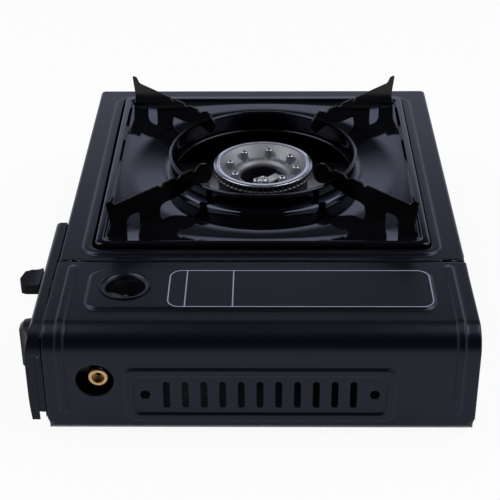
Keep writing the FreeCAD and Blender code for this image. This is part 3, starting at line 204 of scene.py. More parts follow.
def roundProfile(points, radius=0.5, steps=4):
    # each inner corner becomes a quadratic curve (1-t)^2 a + 2t(1-t) p + t^2 b; a point may bring its own
    # radius
    out = [np.array(points[0][:2], float)]
    for before, here, after in zip(points, points[1:], points[2:]):
        p = np.array(here[:2], float)
        a, b = np.array(before[:2], float) - p, np.array(after[:2], float) - p
        want = here[2] if len(here) > 2 else radius
        lengthA, lengthB = np.linalg.norm(a), np.linalg.norm(b)
        half = np.arccos(np.clip(a @ b / (lengthA * lengthB), -1, 1)) / 2
        cut = min(want / max(np.tan(half), 1e-6), 0.45 * lengthA, 0.45 * lengthB)
        t = np.linspace(0, 1, steps + 1)[:, None]
        out += list((1 - t) ** 2 * (p + a / lengthA * cut) + 2 * t * (1 - t) * p
                    + t ** 2 * (p + b / lengthB * cut))
    out.append(np.array(points[-1][:2], float))
    return np.array(out)


def roundLoop(points, radius=0.5, steps=4):
    closed = [points[-1]] + list(points) + [points[0]]
    return roundProfile(closed, radius, steps)[1:-1]


def plate(name, outline, toPlace, thick, material, body, bevel=0.25, **more):
    # flat sheet: the outline at plus and minus half the thickness, joined by a wall of quads
    outline = np.asarray(outline, float)
    n = len(outline)
    near = toPlace(outline[:, 0], outline[:, 1], np.full(n, thick / 2))
    far = toPlace(outline[:, 0], outline[:, 1], np.full(n, -thick / 2))
    i = np.arange(n)
    walls = np.stack([i, (i + 1) % n, n + (i + 1) % n, n + i], -1).tolist()
    faces = [i[::-1].tolist(), (i + n).tolist()] + walls
    piece = addMesh(name, np.concatenate([near, far]), faces, material, body, **more)
    smooth = np.ones(n + 2, bool)
    smooth[:2] = False
    piece.data.polygons.foreach_set("use_smooth", smooth)
    softenEdges(piece, bevel, 50)


# Node groups

def newGroup(name, inputs, outputs):
    tree = bpy.data.node_groups.new(name, "ShaderNodeTree")
    for label, kind, value in inputs:
        socket = tree.interface.new_socket(label, in_out="INPUT", socket_type=kind)
        if value is not None:
            socket.default_value = value
    for label in outputs:
        tree.interface.new_socket(label, in_out="OUTPUT", socket_type="NodeSocketFloat")
    return tree, tree.nodes.new("NodeGroupInput"), tree.nodes.new("NodeGroupOutput")


def addNode(tree, kind, **values):  # in0, in1 and so on set an input, other names set a property
    node = tree.nodes.new(kind)
    for key, value in values.items():
        if key.startswith("in") and key[2:].isdigit():
            node.inputs[int(key[2:])].default_value = value
        else:
            setattr(node, key, value)
    return node


def wire(tree, *links):
    # a link is a node and its output, or a socket alone, and then the node and the input that it feeds
    for *start, node, key in links:
        source = start[0].outputs[start[1]] if len(start) == 2 else start[0]
        tree.links.new(source, node.inputs[key])


def buildSprayCoat():
    # sprayed or fired coat: fine peel as height, cloudy roughness = rough + vary (cloud - 0.5), dust specks
    tree, start, end = newGroup("sprayCoat", [("Vector", "NodeSocketVector", None),
                                              ("Size", "NodeSocketFloat", 900.0),
                                              ("Rough", "NodeSocketFloat", 0.35),
                                              ("Vary", "NodeSocketFloat", 0.08),
                                              ("Dust", "NodeSocketFloat", 0.3)], ["Height", "Rough", "Dust"])
    peel = addNode(tree, "ShaderNodeTexNoise", in3=2.0, in4=0.5)
    cloud = addNode(tree, "ShaderNodeTexNoise", in2=14.0, in3=3.0)
    specks = addNode(tree, "ShaderNodeTexVoronoi", in2=420.0)
    for texture in (peel, cloud, specks):
        wire(tree, (start, "Vector", texture, "Vector"))
    wire(tree, (start, "Size", peel, "Scale"))
    middle = addNode(tree, "ShaderNodeMath", operation="SUBTRACT", in1=0.5)
    vary = addNode(tree, "ShaderNodeMath", operation="MULTIPLY_ADD")
    wire(tree, (cloud, 0, middle, 0), (middle, 0, vary, 0), (start, "Vary", vary, 1),
               (start, "Rough", vary, 2))
    spot = addNode(tree, "ShaderNodeMath", operation="LESS_THAN", in1=0.045)
    some = addNode(tree, "ShaderNodeMath", operation="MULTIPLY")
    wire(tree, (specks, "Distance", spot, 0), (spot, 0, some, 0), (start, "Dust", some, 1),
               (peel, 0, end, "Height"), (vary, 0, end, "Rough"), (some, 0, end, "Dust"))
    return tree


def buildTurnedMarks():
    # lathe marks: half the sine of radius times pitch, broken up by noise
    tree, start, end = newGroup("turnedMarks", [("Vector", "NodeSocketVector", None),
                                                ("Radius", "NodeSocketFloat", 0.0),
                                                ("Pitch", "NodeSocketFloat", 6000.0)], ["Height", "Mask"])
    wave = addNode(tree, "ShaderNodeMath", operation="MULTIPLY")
    sine = addNode(tree, "ShaderNodeMath", operation="SINE")
    noise = addNode(tree, "ShaderNodeTexNoise", in2=260.0, in3=2.0)
    both = addNode(tree, "ShaderNodeMath", operation="MULTIPLY_ADD", in1=0.5)
    wire(tree, (start, "Radius", wave, 0), (start, "Pitch", wave, 1), (wave, 0, sine, 0),
               (sine, 0, both, 0), (start, "Vector", noise, "Vector"), (noise, 0, both, 2),
               (both, 0, end, "Height"), (noise, 0, end, "Mask"))
    return tree


def buildZincSpangle():
    # zinc crystals: 0.7 of a cell's own tone plus 0.3 of a fine streak
    tree, start, end = newGroup("zincSpangle", [("Vector", "NodeSocketVector", None),
                                                ("Size", "NodeSocketFloat", 230.0)], ["Tone", "Height"])
    cells = addNode(tree, "ShaderNodeTexVoronoi", in8=0.8)
    streak = addNode(tree, "ShaderNodeTexNoise", in2=500.0, in3=3.0)
    grey = addNode(tree, "ShaderNodeRGBToBW")
    part = addNode(tree, "ShaderNodeMath", operation="MULTIPLY", in1=0.3)
    mix = addNode(tree, "ShaderNodeMath", operation="MULTIPLY_ADD", in1=0.7)
    wire(tree, (start, "Vector", cells, "Vector"), (start, "Size", cells, "Scale"),
               (start, "Vector", streak, "Vector"), (cells, "Color", grey, 0), (streak, 0, part, 0),
               (grey, 0, mix, 0), (part, 0, mix, 2), (mix, 0, end, "Tone"), (streak, 0, end, "Height"))
    return tree


sprayCoat, turnedMarks, zincSpangle = buildSprayCoat(), buildTurnedMarks(), buildZincSpangle()
print("node groups ready")


# Materials

def startMaterial(name, color, metallic=0.0, rough=0.4):
    mat = bpy.data.materials.new(name)
    mat.use_nodes = True
    tree = mat.node_tree
    shader = tree.nodes["Principled BSDF"]
    shader.inputs["Base Color"].default_value = (*color, 1)
    shader.inputs["Metallic"].default_value = metallic
    shader.inputs["Roughness"].default_value = rough
    return mat, tree, shader, tree.nodes.new("ShaderNodeTexCoord").outputs["Object"]


def bumpInto(tree, shader, height, strength, distance):
    bump = addNode(tree, "ShaderNodeBump")
    bump.inputs["Strength"].default_value = strength
    bump.inputs["Distance"].default_value = distance
    wire(tree, (height, bump, "Height"), (bump, "Normal", shader, "Normal"))


def blendInto(tree, shader, mask, one, two):  # Base Color = one where the mask is 0, two where it is 1
    mix = addNode(tree, "ShaderNodeMix", data_type="RGBA", in6=(*one, 1), in7=(*two, 1))
    wire(tree, (mask, mix, 0), (mix, 2, shader, "Base Color"))


def roughFrom(tree, shader, mask, low, high, fromLow=0.0, fromHigh=1.0):
    span = addNode(tree, "ShaderNodeMapRange", in1=fromLow, in2=fromHigh, in3=low, in4=high)
    wire(tree, (mask, span, 0), (span, 0, shader, "Roughness"))


coolTint = (0.66, 0.73, 1.0, 1)  # the coats throw back a bluish light


def coatedSteel(name, color, rough, vary=0.08, peel=900.0, bump=0.06, dust=0.3, specular=0.5, dustColor=None):
    mat, tree, shader, coord = startMaterial(name, color, 0.0, rough)
    group = addNode(tree, "ShaderNodeGroup", node_tree=sprayCoat)
    for label, value in (("Size", peel), ("Rough", rough), ("Vary", vary), ("Dust", dust)):
        group.inputs[label].default_value = value
    wire(tree, (coord, group, "Vector"), (group, "Rough", shader, "Roughness"))
    blendInto(tree, shader, group.outputs["Dust"], color, dustColor or (0.03, 0.031, 0.034))
    bumpInto(tree, shader, group.outputs["Height"], bump, 0.0004)
    shader.inputs["Specular IOR Level"].default_value = specular
    shader.inputs["Specular Tint"].default_value = coolTint
    return mat


def zincSheet(name, dark, light, rough=0.38, metallic=0.85):
    mat, tree, shader, coord = startMaterial(name, light, metallic, rough)
    group = addNode(tree, "ShaderNodeGroup", node_tree=zincSpangle)
    wire(tree, (coord, group, "Vector"))
    blendInto(tree, shader, group.outputs["Tone"], dark, light)
    bumpInto(tree, shader, group.outputs["Height"], 0.08, 0.0003)
    return mat


def turnedMetal(name, shade, color, rough, centre, axis, pitch=5000.0, bump=0.12):
    # marks follow the distance from the axis: the root of the sum of two squares
    mat, tree, shader, coord = startMaterial(name, color, 1.0, rough)
    move = addNode(tree, "ShaderNodeMapping")
    move.inputs["Location"].default_value = [-c * mm for c in centre]
    parts = addNode(tree, "ShaderNodeSeparateXYZ")
    wire(tree, (coord, move, "Vector"), (move, 0, parts, 0))
    total = addNode(tree, "ShaderNodeMath", operation="ADD")
    for k, channel in enumerate({"x": (1, 2), "y": (0, 2), "z": (0, 1)}[axis]):
        square = addNode(tree, "ShaderNodeMath", operation="MULTIPLY")
        wire(tree, (parts, channel, square, 0), (parts, channel, square, 1), (square, 0, total, k))
    root = addNode(tree, "ShaderNodeMath", operation="SQRT")
    wire(tree, (total, 0, root, 0))
    group = addNode(tree, "ShaderNodeGroup", node_tree=turnedMarks)
    group.inputs["Pitch"].default_value = pitch
    wire(tree, (root, 0, group, "Radius"), (coord, group, "Vector"))
    blendInto(tree, shader, group.outputs["Mask"], shade, color)
    bumpInto(tree, shader, group.outputs["Height"], bump, 0.0002)
    return mat


def mouldedPlastic(name, color, rough, grain=1500.0, bump=0.15, specular=0.5):
    mat, tree, shader, coord = startMaterial(name, color, 0.0, rough)
    noise = addNode(tree, "ShaderNodeTexNoise", in2=grain, in3=2.0)
    wire(tree, (coord, noise, "Vector"))
    roughFrom(tree, shader, noise.outputs[0], rough - 0.05, rough + 0.08)
    blendInto(tree, shader, noise.outputs[0], tuple(c * 0.85 for c in color), tuple(c * 1.15 for c in color))
    bumpInto(tree, shader, noise.outputs[0], bump, 0.0003)
    shader.inputs["Specular IOR Level"].default_value = specular
    return mat


def castMetal(name, dark, light, rough, grain=1100.0, bump=0.5, metallic=0.9):
    # blasted or die-cast skin: 0.6 of a fine grain plus 0.4 of a slow blotch
    mat, tree, shader, coord = startMaterial(name, light, metallic, rough)
    fine = addNode(tree, "ShaderNodeTexNoise", in2=grain, in3=4.0, in4=0.65)
    blotch = addNode(tree, "ShaderNodeTexNoise", in2=60.0, in3=3.0)
    wire(tree, (coord, fine, "Vector"), (coord, blotch, "Vector"))
    part = addNode(tree, "ShaderNodeMath", operation="MULTIPLY", in1=0.4)
    both = addNode(tree, "ShaderNodeMath", operation="MULTIPLY_ADD", in1=0.6)
    wire(tree, (blotch, 0, part, 0), (fine, 0, both, 0), (part, 0, both, 2))
    blendInto(tree, shader, both.outputs[0], dark, light)
    bumpInto(tree, shader, fine.outputs[0], bump, 0.0004)
    return mat


def wornEnamel(name, color, worn):
    # black enamel on the arms; upward edges, where pots rub, wear to the steel: mask = normal z squared
    # times noise
    mat, tree, shader, coord = startMaterial(name, color, 0.0, 0.1)
    shader.inputs["Specular IOR Level"].default_value = 0.14
    normal = addNode(tree, "ShaderNodeTexCoord").outputs["Normal"]
    parts = addNode(tree, "ShaderNodeSeparateXYZ")
    wire(tree, (normal, parts, 0))
    upward = addNode(tree, "ShaderNodeMath", operation="MULTIPLY")
    wire(tree, (parts, 2, upward, 0), (parts, 2, upward, 1))
    noise = addNode(tree, "ShaderNodeTexNoise", in2=260.0, in3=4.0)
    wire(tree, (coord, noise, "Vector"))
    patch = addNode(tree, "ShaderNodeMapRange", in1=0.46, in2=0.66)
    wire(tree, (noise, 0, patch, 0))
    mask = addNode(tree, "ShaderNodeMath", operation="MULTIPLY", use_clamp=True)
    wire(tree, (upward, 0, mask, 0), (patch, 0, mask, 1))
    blendInto(tree, shader, mask.outputs[0], color, worn)
    roughFrom(tree, shader, mask.outputs[0], 0.16, 0.4)
    bumpInto(tree, shader, noise.outputs[0], 0.05, 0.0006)
    return mat


burnerAt = (place["panX"], place["panY"], place["crownTop"])
inletAt = (0, place["inletY"], place["inletZ"])
paint = {"peel": 1300.0, "dust": 0.06}  # the fine powder coat of case, lid and panel
mats = {
    "shellPaint": coatedSteel("shellPaint", (0.0024, 0.0026, 0.0038), 0.28, specular=0.38, **paint),
    "lidPaint": coatedSteel("lidPaint", (0.0024, 0.0027, 0.0042), 0.3, specular=0.38, **paint),
    "panelPaint": coatedSteel("panelPaint", (0.0024, 0.0026, 0.004), 0.33, specular=0.3, **paint),
    "panEnamel": coatedSteel("panEnamel", (0.0012, 0.0012, 0.0016), 0.06, 0.03, 220.0, 0.03, 0.03),
    "armEnamel": wornEnamel("armEnamel", (0.0012, 0.0012, 0.0014), (0.03, 0.02, 0.014)),
    "zincTray": zincSheet("zincTray", (0.16, 0.163, 0.18), (0.25, 0.255, 0.29), 0.42, 0.6),
    "shelfZinc": zincSheet("shelfZinc", (0.52, 0.53, 0.62), (0.74, 0.75, 0.86), 0.46, 0.1),
    "strapSteel": zincSheet("strapSteel", (0.46, 0.47, 0.5), (0.68, 0.69, 0.73), 0.34, 0.35),
    "plated": zincSheet("platedSteel", (0.42, 0.42, 0.44), (0.66, 0.66, 0.68), 0.3, 0.8),
    "castCrown": castMetal("castCrown", (0.14, 0.142, 0.152), (0.31, 0.315, 0.335), 0.44, bump=0.6,
                           metallic=0.72),
    "portBars": castMetal("portBars", (0.04, 0.042, 0.055), (0.12, 0.125, 0.15), 0.4, bump=0.3,
                          metallic=0.6),
    "castBody": castMetal("castBody", (0.32, 0.32, 0.33), (0.52, 0.52, 0.54), 0.42),
    "machined": turnedMetal("machinedRim", (0.56, 0.57, 0.61), (0.82, 0.83, 0.88), 0.22, burnerAt, "z"),
    "tubeSteel": castMetal("tubeSteel", (0.2, 0.19, 0.19), (0.4, 0.39, 0.39), 0.36, 500.0, 0.15),
    "brass": turnedMetal("turnedBrass", (0.4, 0.25, 0.11), (0.74, 0.5, 0.25), 0.24, inletAt, "x"),
    "knobPlastic": mouldedPlastic("knobPlastic", (0.0045, 0.0047, 0.0068), 0.38, specular=0.26),
    "tabPlastic": mouldedPlastic("tabPlastic", (0.004, 0.0042, 0.006), 0.42, specular=0.12),
    "igniterPlastic": mouldedPlastic("igniterPlastic", (0.03, 0.03, 0.032), 0.5),
    "leadRubber": mouldedPlastic("leadSleeve", (0.5, 0.5, 0.48), 0.55, 600.0, 0.1),
    "ceramic": mouldedPlastic("glazedCeramic", (0.78, 0.76, 0.7), 0.2, 300.0, 0.05),
    # painted shade: a near-black colour for burner parts that lie in shade, namely the gas chamber under the
    # crown, the port slots and the drilled holes of the posts
    "sootBand": castMetal("sootBand", (0.004, 0.0045, 0.008), (0.012, 0.013, 0.022), 0.45, metallic=0.3),
    "labelInk": mouldedPlastic("labelInk", (0.25, 0.29, 0.37), 0.5, 900.0, 0.05),
}
print("materials ready:", len(mats))


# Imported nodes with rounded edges

def dress(node, material, body, width=0.25, angle=30):
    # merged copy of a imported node, its flat faces joined, its edges softened
    mesh = bpy.data.meshes.new(node + ".dressed")
    mergeDoubles(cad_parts[node].data, mesh, flatAngle=0.6)
    piece = addPiece(node + ".dressed", mesh, material, body, node=node)
    mesh.set_sharp_from_angle(angle=math.radians(angle))
    if width:
        softenEdges(piece, width, angle)


dressed = {  # node: material, body, width of the softened edge
    "base_tray": ("zincTray", "case", 0.2), "partition": ("zincTray", "case", 0),
    "shelf": ("shelfZinc", "case", 0.3), "burner_stand": ("shelfZinc", "case", 0.3),
    # the gas chamber takes the painted shade: it is coloured near black for the shade it sits in under the
    # crown
    "gas_chamber": ("sootBand", "case", 0.4), "burner_strap": ("strapSteel", "case", 0.15),
    "mixing_tube": ("tubeSteel", "case", 0.15), "hinge_pins": ("plated", "case", 0.1),
    "front_panel": ("panelPaint", "case", 0), "valve_spindle": ("brass", "knob", 0.1),
    "lever_plate": ("plated", "lever", 0.15), "lever_tab": ("tabPlastic", "lever", 0.6),
    "cartridge_pusher": ("plated", "pusher", 0.2), "pusher_guides": ("plated", "case", 0.2),
    "valve_block": ("castBody", "case", 0.5), "regulator": ("plated", "case", 0.3),
    "cartridge_socket": ("brass", "case", 0.2), "hose_inlet": ("brass", "case", 0.3),
    "gas_jet": ("brass", "case", 0.2), "igniter": ("igniterPlastic", "case", 0.3),
    "ignition_lead": ("leadRubber", "case", 0), "electrode": ("ceramic", "case", 0.15),
    "electrode_bracket": ("strapSteel", "case", 0.15), "guide_plate": ("plated", "case", 0.2),
    "regulator_screws": ("plated", "case", 0.2), "burner_screw": ("plated", "case", 0.2),
    "base_screws": ("plated", "case", 0.2), "valve_screws": ("plated", "case", 0.2),
    "control_knob": ("knobPlastic", "knob", 0.6),
}
for node, (finish, body, width) in dressed.items():
    dress(node, mats[finish], body, width)
print("dressed nodes:", len(dressed))

foot = {"raise": 4.2, "notch": 5.8, "edge": 1.0, "near": 0.3, "flange": 3.0, "inset": 0.9, "returnLong": 12.0,
        "returnHigh": 52.0, "returnThick": 0.4, "gap": 0.3, "tabBack": 6.0, "tabDeep": 4.2, "tabLow": 0.6,
        "tabOver": 1.5}


def raisePanelFoot():
    # heights at the panel's lower edge and at the top of its notch move up by the same step
    mesh = bpy.data.objects["front_panel.dressed"].data
    points = meshPoints(mesh)
    high = points[:, 2] - place["low"]
    atFlange = points[:, 0] > place["side"] - foot["flange"]
    move = (high < foot["edge"]) | ((np.abs(high - foot["notch"]) < foot["near"]) & atFlange)
    points[move, 2] += foot["raise"]
    mesh.vertices.foreach_set("co", (points * mm).ravel())
    mesh.update()


def addStrip(name, low, high, corner, toPlace):
    # thin upright strip of the panel's sheet: a rectangle with round corners from its two opposite corners
    (u0, w0), (u1, w1) = low, high
    outline = roundLoop([(u0, w0, corner), (u1, w0, corner), (u1, w1, corner), (u0, w1, corner)], corner, 4)
    plate(name, outline, toPlace, foot["returnThick"], mats["panelPaint"], "case", 0.05,
          slotName="panel_paint")


def makePanelReturn():
    # strip of the panel's side flange turned in along the case, which closes the joint with the lid, and the
    # set-back tab seen through the notch at the flange's foot
    f = foot
    x, z, y = place["side"] - f["inset"], place["low"] + f["raise"], place["front"] - f["gap"]
    addStrip("panelReturn", (x - f["returnLong"], z + 1), (x, z + f["returnHigh"]), 0.5,
             lambda u, w, t: np.stack([u, y - f["returnThick"] / 2 + t, w], -1))
    addStrip("panelFootTab", (y - f["tabDeep"], z + f["tabLow"]), (y, z + f["notch"] + f["tabOver"]), 0.4,
             lambda u, w, t: np.stack([x - f["tabBack"] + t, u, w], -1))


raisePanelFoot()
makePanelReturn()


# Top shell

shell = {"bend": 2.0, "farCorner": 3.0, "seamCorner": 0.4, "wall": 0.8, "landFar": 14.0, "landSeam": 6.4,
         "landSide": 13.8, "landCorner": 12.5, "landSlope": 2.0, "landWide": 6.4, "openCorner": 6.0,
         "rollIn": 1.2, "ledgeDrop": 5.0, "ledge": 4.5, "beadNotch": 1.7, "beadInset": 11.2, "beadWide": 6.3,
         "stampShift": -0.5, "earSlot": 8.1, "earLow": 64.3, "vents": 9, "ventPitch": 11.0, "ventWide": 3.2,
         "ventLow": 26.2, "ventHigh": 44.2, "midRow": 55.0, "bendEase": 0.6, "edgeInset": 0.3,
         "edgeCorner": 2.0, "topInset": 4.2, "topSeam": 3.4, "topCorner": 3.0, "landEase": 1.4,
         "easeCorner": 1.2, "slopeFrom": 0.7, "levelInset": 3.0, "levelCorner": 9.5, "rollCorner": 0.8,
         "seatRise": 0.6, "seatStep": 0.5}
arcSteps = 9  # points on a corner of a ring


def ringPoints(box, corners, z, sharesX, sharesY):
    # rounded rectangle at one height: each corner is its centre + r (cos a, sin a), each side a + (b - a) t;
    # the shares t run from the far end to the seam and from front to back, the same for every ring
    x0, x1, y0, y1 = box
    far, seam = corners
    arc = np.linspace(0, np.pi / 2, arcSteps)
    turns = [(x1 - seam, y1 - seam, seam), (x0 + far, y1 - far, far),
             (x0 + far, y0 + far, far), (x1 - seam, y0 + seam, seam)]
    bends = [np.stack([cx + r * np.cos(arc + k * np.pi / 2), cy + r * np.sin(arc + k * np.pi / 2)], -1)
             for k, (cx, cy, r) in enumerate(turns)]
    shares = [1 - sharesX[::-1], 1 - sharesY[::-1], sharesX, sharesY]
    parts = []
    for k in range(4):
        a, b = bends[k][-1], bends[(k + 1) % 4][0]
        parts += [bends[k], a + (b - a) * shares[k][:, None]]
    flat = np.concatenate(parts)
    return np.column_stack([flat, np.full(len(flat), z)])


def sharesOf(lines, low, high):  # places between two ends as shares of the run, without the ends
    shares = np.unique(np.round((np.asarray(lines) - low) / (high - low), 6))
    return shares[(shares > 0.002) & (shares < 0.998)]


def makeShell():
    # rings run up the walls, round the top bend, over the raised land and down to the pan's seat
    p, c = place, shell
    beadAt = (p["back"] - p["front"]) / 2 - c["beadInset"]
    beads = [p["midY"] + c["stampShift"] + side * beadAt for side in (-1, 1)]
    vents = p["panX"] + (np.arange(c["vents"]) - (c["vents"] - 1) / 2) * c["ventPitch"]
    linesX = np.concatenate([np.linspace(p["far"], p["seam"], 44), vents - c["ventWide"] / 2,
                             vents + c["ventWide"] / 2, [p["seam"] - c["earSlot"], p["seam"] - 4.0]])
    linesY = np.concatenate([np.linspace(p["front"], p["back"], 40)]
                            + [y + np.array([-0.5, 0, 0.5]) * c["beadWide"] for y in beads])
    sharesX = sharesOf(linesX, p["far"] + c["farCorner"], p["seam"] - c["seamCorner"])
    sharesY = sharesOf(linesY, p["front"] + c["seamCorner"], p["back"] - c["seamCorner"])
    rings = []

    def outerRing(inset, seamInset, corner, z):
        box = (p["far"] + inset, p["seam"] - seamInset, p["front"] + inset, p["back"] - inset)
        rings.append(ringPoints(box, (max(corner, 0.3), c["seamCorner"]), z, sharesX, sharesY))

    def landRing(inset, corner, z):
        box = (p["far"] + c["landFar"] + inset, p["seam"] - c["landSeam"] - inset,
               p["front"] + c["landSide"] + inset, p["back"] - c["landSide"] - inset)
        rings.append(ringPoints(box, (corner, corner), z, sharesX, sharesY))

    for z in (p["low"], p["low"] + 1.0, c["ventLow"], c["ventHigh"], c["midRow"], c["earLow"],
              p["top"] - c["bend"] - c["bendEase"]):
        outerRing(0, 0, c["farCorner"], z)
    for a in np.linspace(0, np.pi / 2, 8):
        inset = c["bend"] * (1 - math.cos(a))
        outerRing(inset, 0, c["farCorner"] - 0.6 * inset, p["top"] - c["bend"] * (1 - math.sin(a)))
    outerRing(c["bend"] + c["edgeInset"], c["beadNotch"], c["edgeCorner"], p["top"])
    outerRing(c["topInset"], c["topSeam"], c["topCorner"], p["top"])
    landRing(-c["landEase"], c["landCorner"] + c["easeCorner"], p["top"])
    for t in np.linspace(0, 1, 9):
        landRing(-c["slopeFrom"] + c["landSlope"] * t, c["landCorner"] - t,
                 p["top"] + stamped["land"] * float(smoothStep(t)))
    level = p["top"] + stamped["land"]
    landRing(c["levelInset"], c["levelCorner"], level)
    for a in np.linspace(0, np.pi / 2, 7):
        landRing(c["landWide"] - c["rollIn"] * (1 - math.sin(a)),
                 c["openCorner"] + c["rollCorner"] * (1 - math.sin(a)),
                 level - c["rollIn"] * (1 - math.cos(a)))
    landRing(c["landWide"], c["openCorner"], level - c["ledgeDrop"] + c["seatRise"])
    landRing(c["landWide"] + c["seatStep"], c["openCorner"], level - c["ledgeDrop"])
    landRing(c["landWide"] + c["ledge"], c["openCorner"], level - c["ledgeDrop"])

    grid = np.array(rings)
    middle = (grid[:-1] + grid[1:]) / 2
    middle = (middle + np.roll(middle, -1, axis=1)) / 2
    x, y, z = middle[..., 0], middle[..., 1], middle[..., 2]
    drop = (x > p["seam"] - 0.06) & (z < p["top"] - 0.01)  # the seam side is open
    for bead in beads:
        atSeam = (x > p["seam"] - c["beadNotch"]) & (z > p["top"] - 0.3)
        drop |= atSeam & (np.abs(y - bead) < c["beadWide"] / 2)
    edge = np.minimum(y - p["front"], p["back"] - y)
    drop |= (x > p["seam"] - c["earSlot"]) & (edge < c["wall"]) & (z > c["earLow"])
    for vent in vents:
        inVent = (np.abs(x - vent) < c["ventWide"] / 2) & (y > p["back"] - 0.1)
        drop |= inVent & (z > c["ventLow"]) & (z < c["ventHigh"])
    faces = gridFaces(*grid.shape[:2], wrap=True, keep=~drop)
    thicken(addMesh("topShell", grid.reshape(-1, 3), faces, mats["shellPaint"], "case", node="top_shell",
                    slotName="shell_paint"), c["wall"])


makeShell()
print("top shell made")


# Cartridge lid

lid = {"bend": 15.5, "seamGap": 1.1, "flange": 5.0, "edgeRound": 1.2, "sheet": 0.8, "stampShift": -0.5,
       "labelInset": 11.6, "labelWide": 44.5, "labelDeep": 213.0, "labelRise": 1.5, "labelSlope": 2.1,
       "labelCorner": 9.0, "frameBase": 3.9, "frameHigh": 38.6, "frameDeep": 162.0, "frameBand": 6.0,
       "frameSlope": 1.15, "beadInset": 11.2, "beadWide": 5.7, "beadRise": 1.45, "beadSlope": 1.0,
       "beadStart": 8.7, "beadEnd": 12.2, "holeSide": 50.6, "holeFront": 46.0, "hole": 15.2, "holeIn": 12.35,
       "hoseFront": 30.5, "hoseHigh": 33.6, "hose": 11.4, "slots": 11, "slotPitch": 11.17, "slotWide": 4.1,
       "slotLong": 19.3, "endHoles": 137.2, "endHole": 3.0, "cornerCut": 5.6}
lidRows = {  # stretches along Y, from the lid's middle, with a finer grid: from, to, step
    "labelEnds": [(-108, -103.5, 0.45), (103, 108, 0.45)], "hoseHole": [(-111.5, -86.5, 0.8)],
    "roundHole": [(-101, -67, 0.9)], "frameEnds": [(-83, -73, 0.5), (73, 83, 0.5)],
    "endHoles": [(-72, -64, 0.8), (64, 72, 0.8)], "slots": [(-60, 60, 0.9)]}
lid["start"] = place["seam"] + lid["seamGap"]
lid["flat"] = place["side"] - lid["bend"] - lid["start"]
lid["arc"] = lid["bend"] * math.pi / 2
lid["total"] = lid["flat"] + lid["arc"] + place["top"] - lid["bend"] - place["low"]


def lidSection(s):
    # the section by its length s: flat along X, a quarter arc, then down; gives x, z and the outward normal
    a = np.clip((s - lid["flat"]) / lid["bend"], 0, np.pi / 2)
    x = lid["start"] + np.minimum(s, lid["flat"]) + lid["bend"] * np.sin(a)
    z = place["top"] - lid["bend"] * (1 - np.cos(a)) - np.maximum(s - lid["flat"] - lid["arc"], 0)
    return x, z, np.sin(a), np.cos(a)


def lengthAt(height):  # place along the section of a height above the lid's lower edge
    return lid["total"] - height


def lidHoles(s, v):
    # distance to the nearest hole, negative inside it; v runs along Y from the middle of the case
    c = lid
    half = (place["back"] - place["front"]) / 2
    best = np.hypot(s - (place["side"] - c["holeSide"] - c["start"]), v + half - c["holeFront"]) - c["hole"]
    best = np.minimum(best, np.hypot(s - lengthAt(c["hoseHigh"]), v + half - c["hoseFront"]) - c["hose"])
    field = lengthAt(c["frameBase"] + c["frameHigh"] / 2)
    last = c["slots"] // 2  # slots on either side of the middle one
    row = np.clip(np.round((v - c["stampShift"]) / c["slotPitch"]), -last, last)
    row = c["stampShift"] + row * c["slotPitch"]
    reach = (c["slotLong"] - c["slotWide"]) / 2
    slots = slotDistance(s, v, field - reach, row, field + reach, row + 1e-6)
    best = np.minimum(best, slots - c["slotWide"] / 2)
    for side in (-1, 1):
        end = np.hypot(s - field, v - c["stampShift"] - side * c["endHoles"] / 2) - c["endHole"]
        corner = ((c["total"] - s) + (half - side * v) * 1.5 - c["cornerCut"]) / 1.8
        best = np.minimum(best, np.minimum(end, corner))
    return best


def lidHeight(s, v):
    # stampings added up: label panel, two beads and the raised frame round the slots
    c = lid
    w = v - c["stampShift"]
    label = roundBox(s - (c["labelInset"] - c["seamGap"] + c["labelWide"] / 2), w, c["labelWide"] / 2 + 0.2,
                     c["labelDeep"] / 2 + 0.2, c["labelCorner"])
    height = c["labelRise"] * smoothStep(-label / c["labelSlope"])
    field = lengthAt(c["frameBase"] + c["frameHigh"] / 2)
    halfHigh, halfDeep = c["frameHigh"] / 2, c["frameDeep"] / 2
    outer = roundBox(s - field, w, halfHigh + 0.2, halfDeep + 0.2, 6.2)
    inner = roundBox(s - field, w, halfHigh - c["frameBand"], halfDeep - c["frameBand"], 4.0)
    onFrame = smoothStep(-outer / c["frameSlope"]) * smoothStep(inner / c["frameSlope"])
    height = height + stamped["frame"] * onFrame
    beadAt = (place["back"] - place["front"]) / 2 - c["beadInset"]
    for side in (-1, 1):
        d = slotDistance(s, w, c["beadStart"] - c["seamGap"], side * beadAt, lengthAt(c["beadEnd"]),
                         side * beadAt)
        height = height + c["beadRise"] * smoothStep((c["beadWide"] / 2 - d) / c["beadSlope"])
    return height


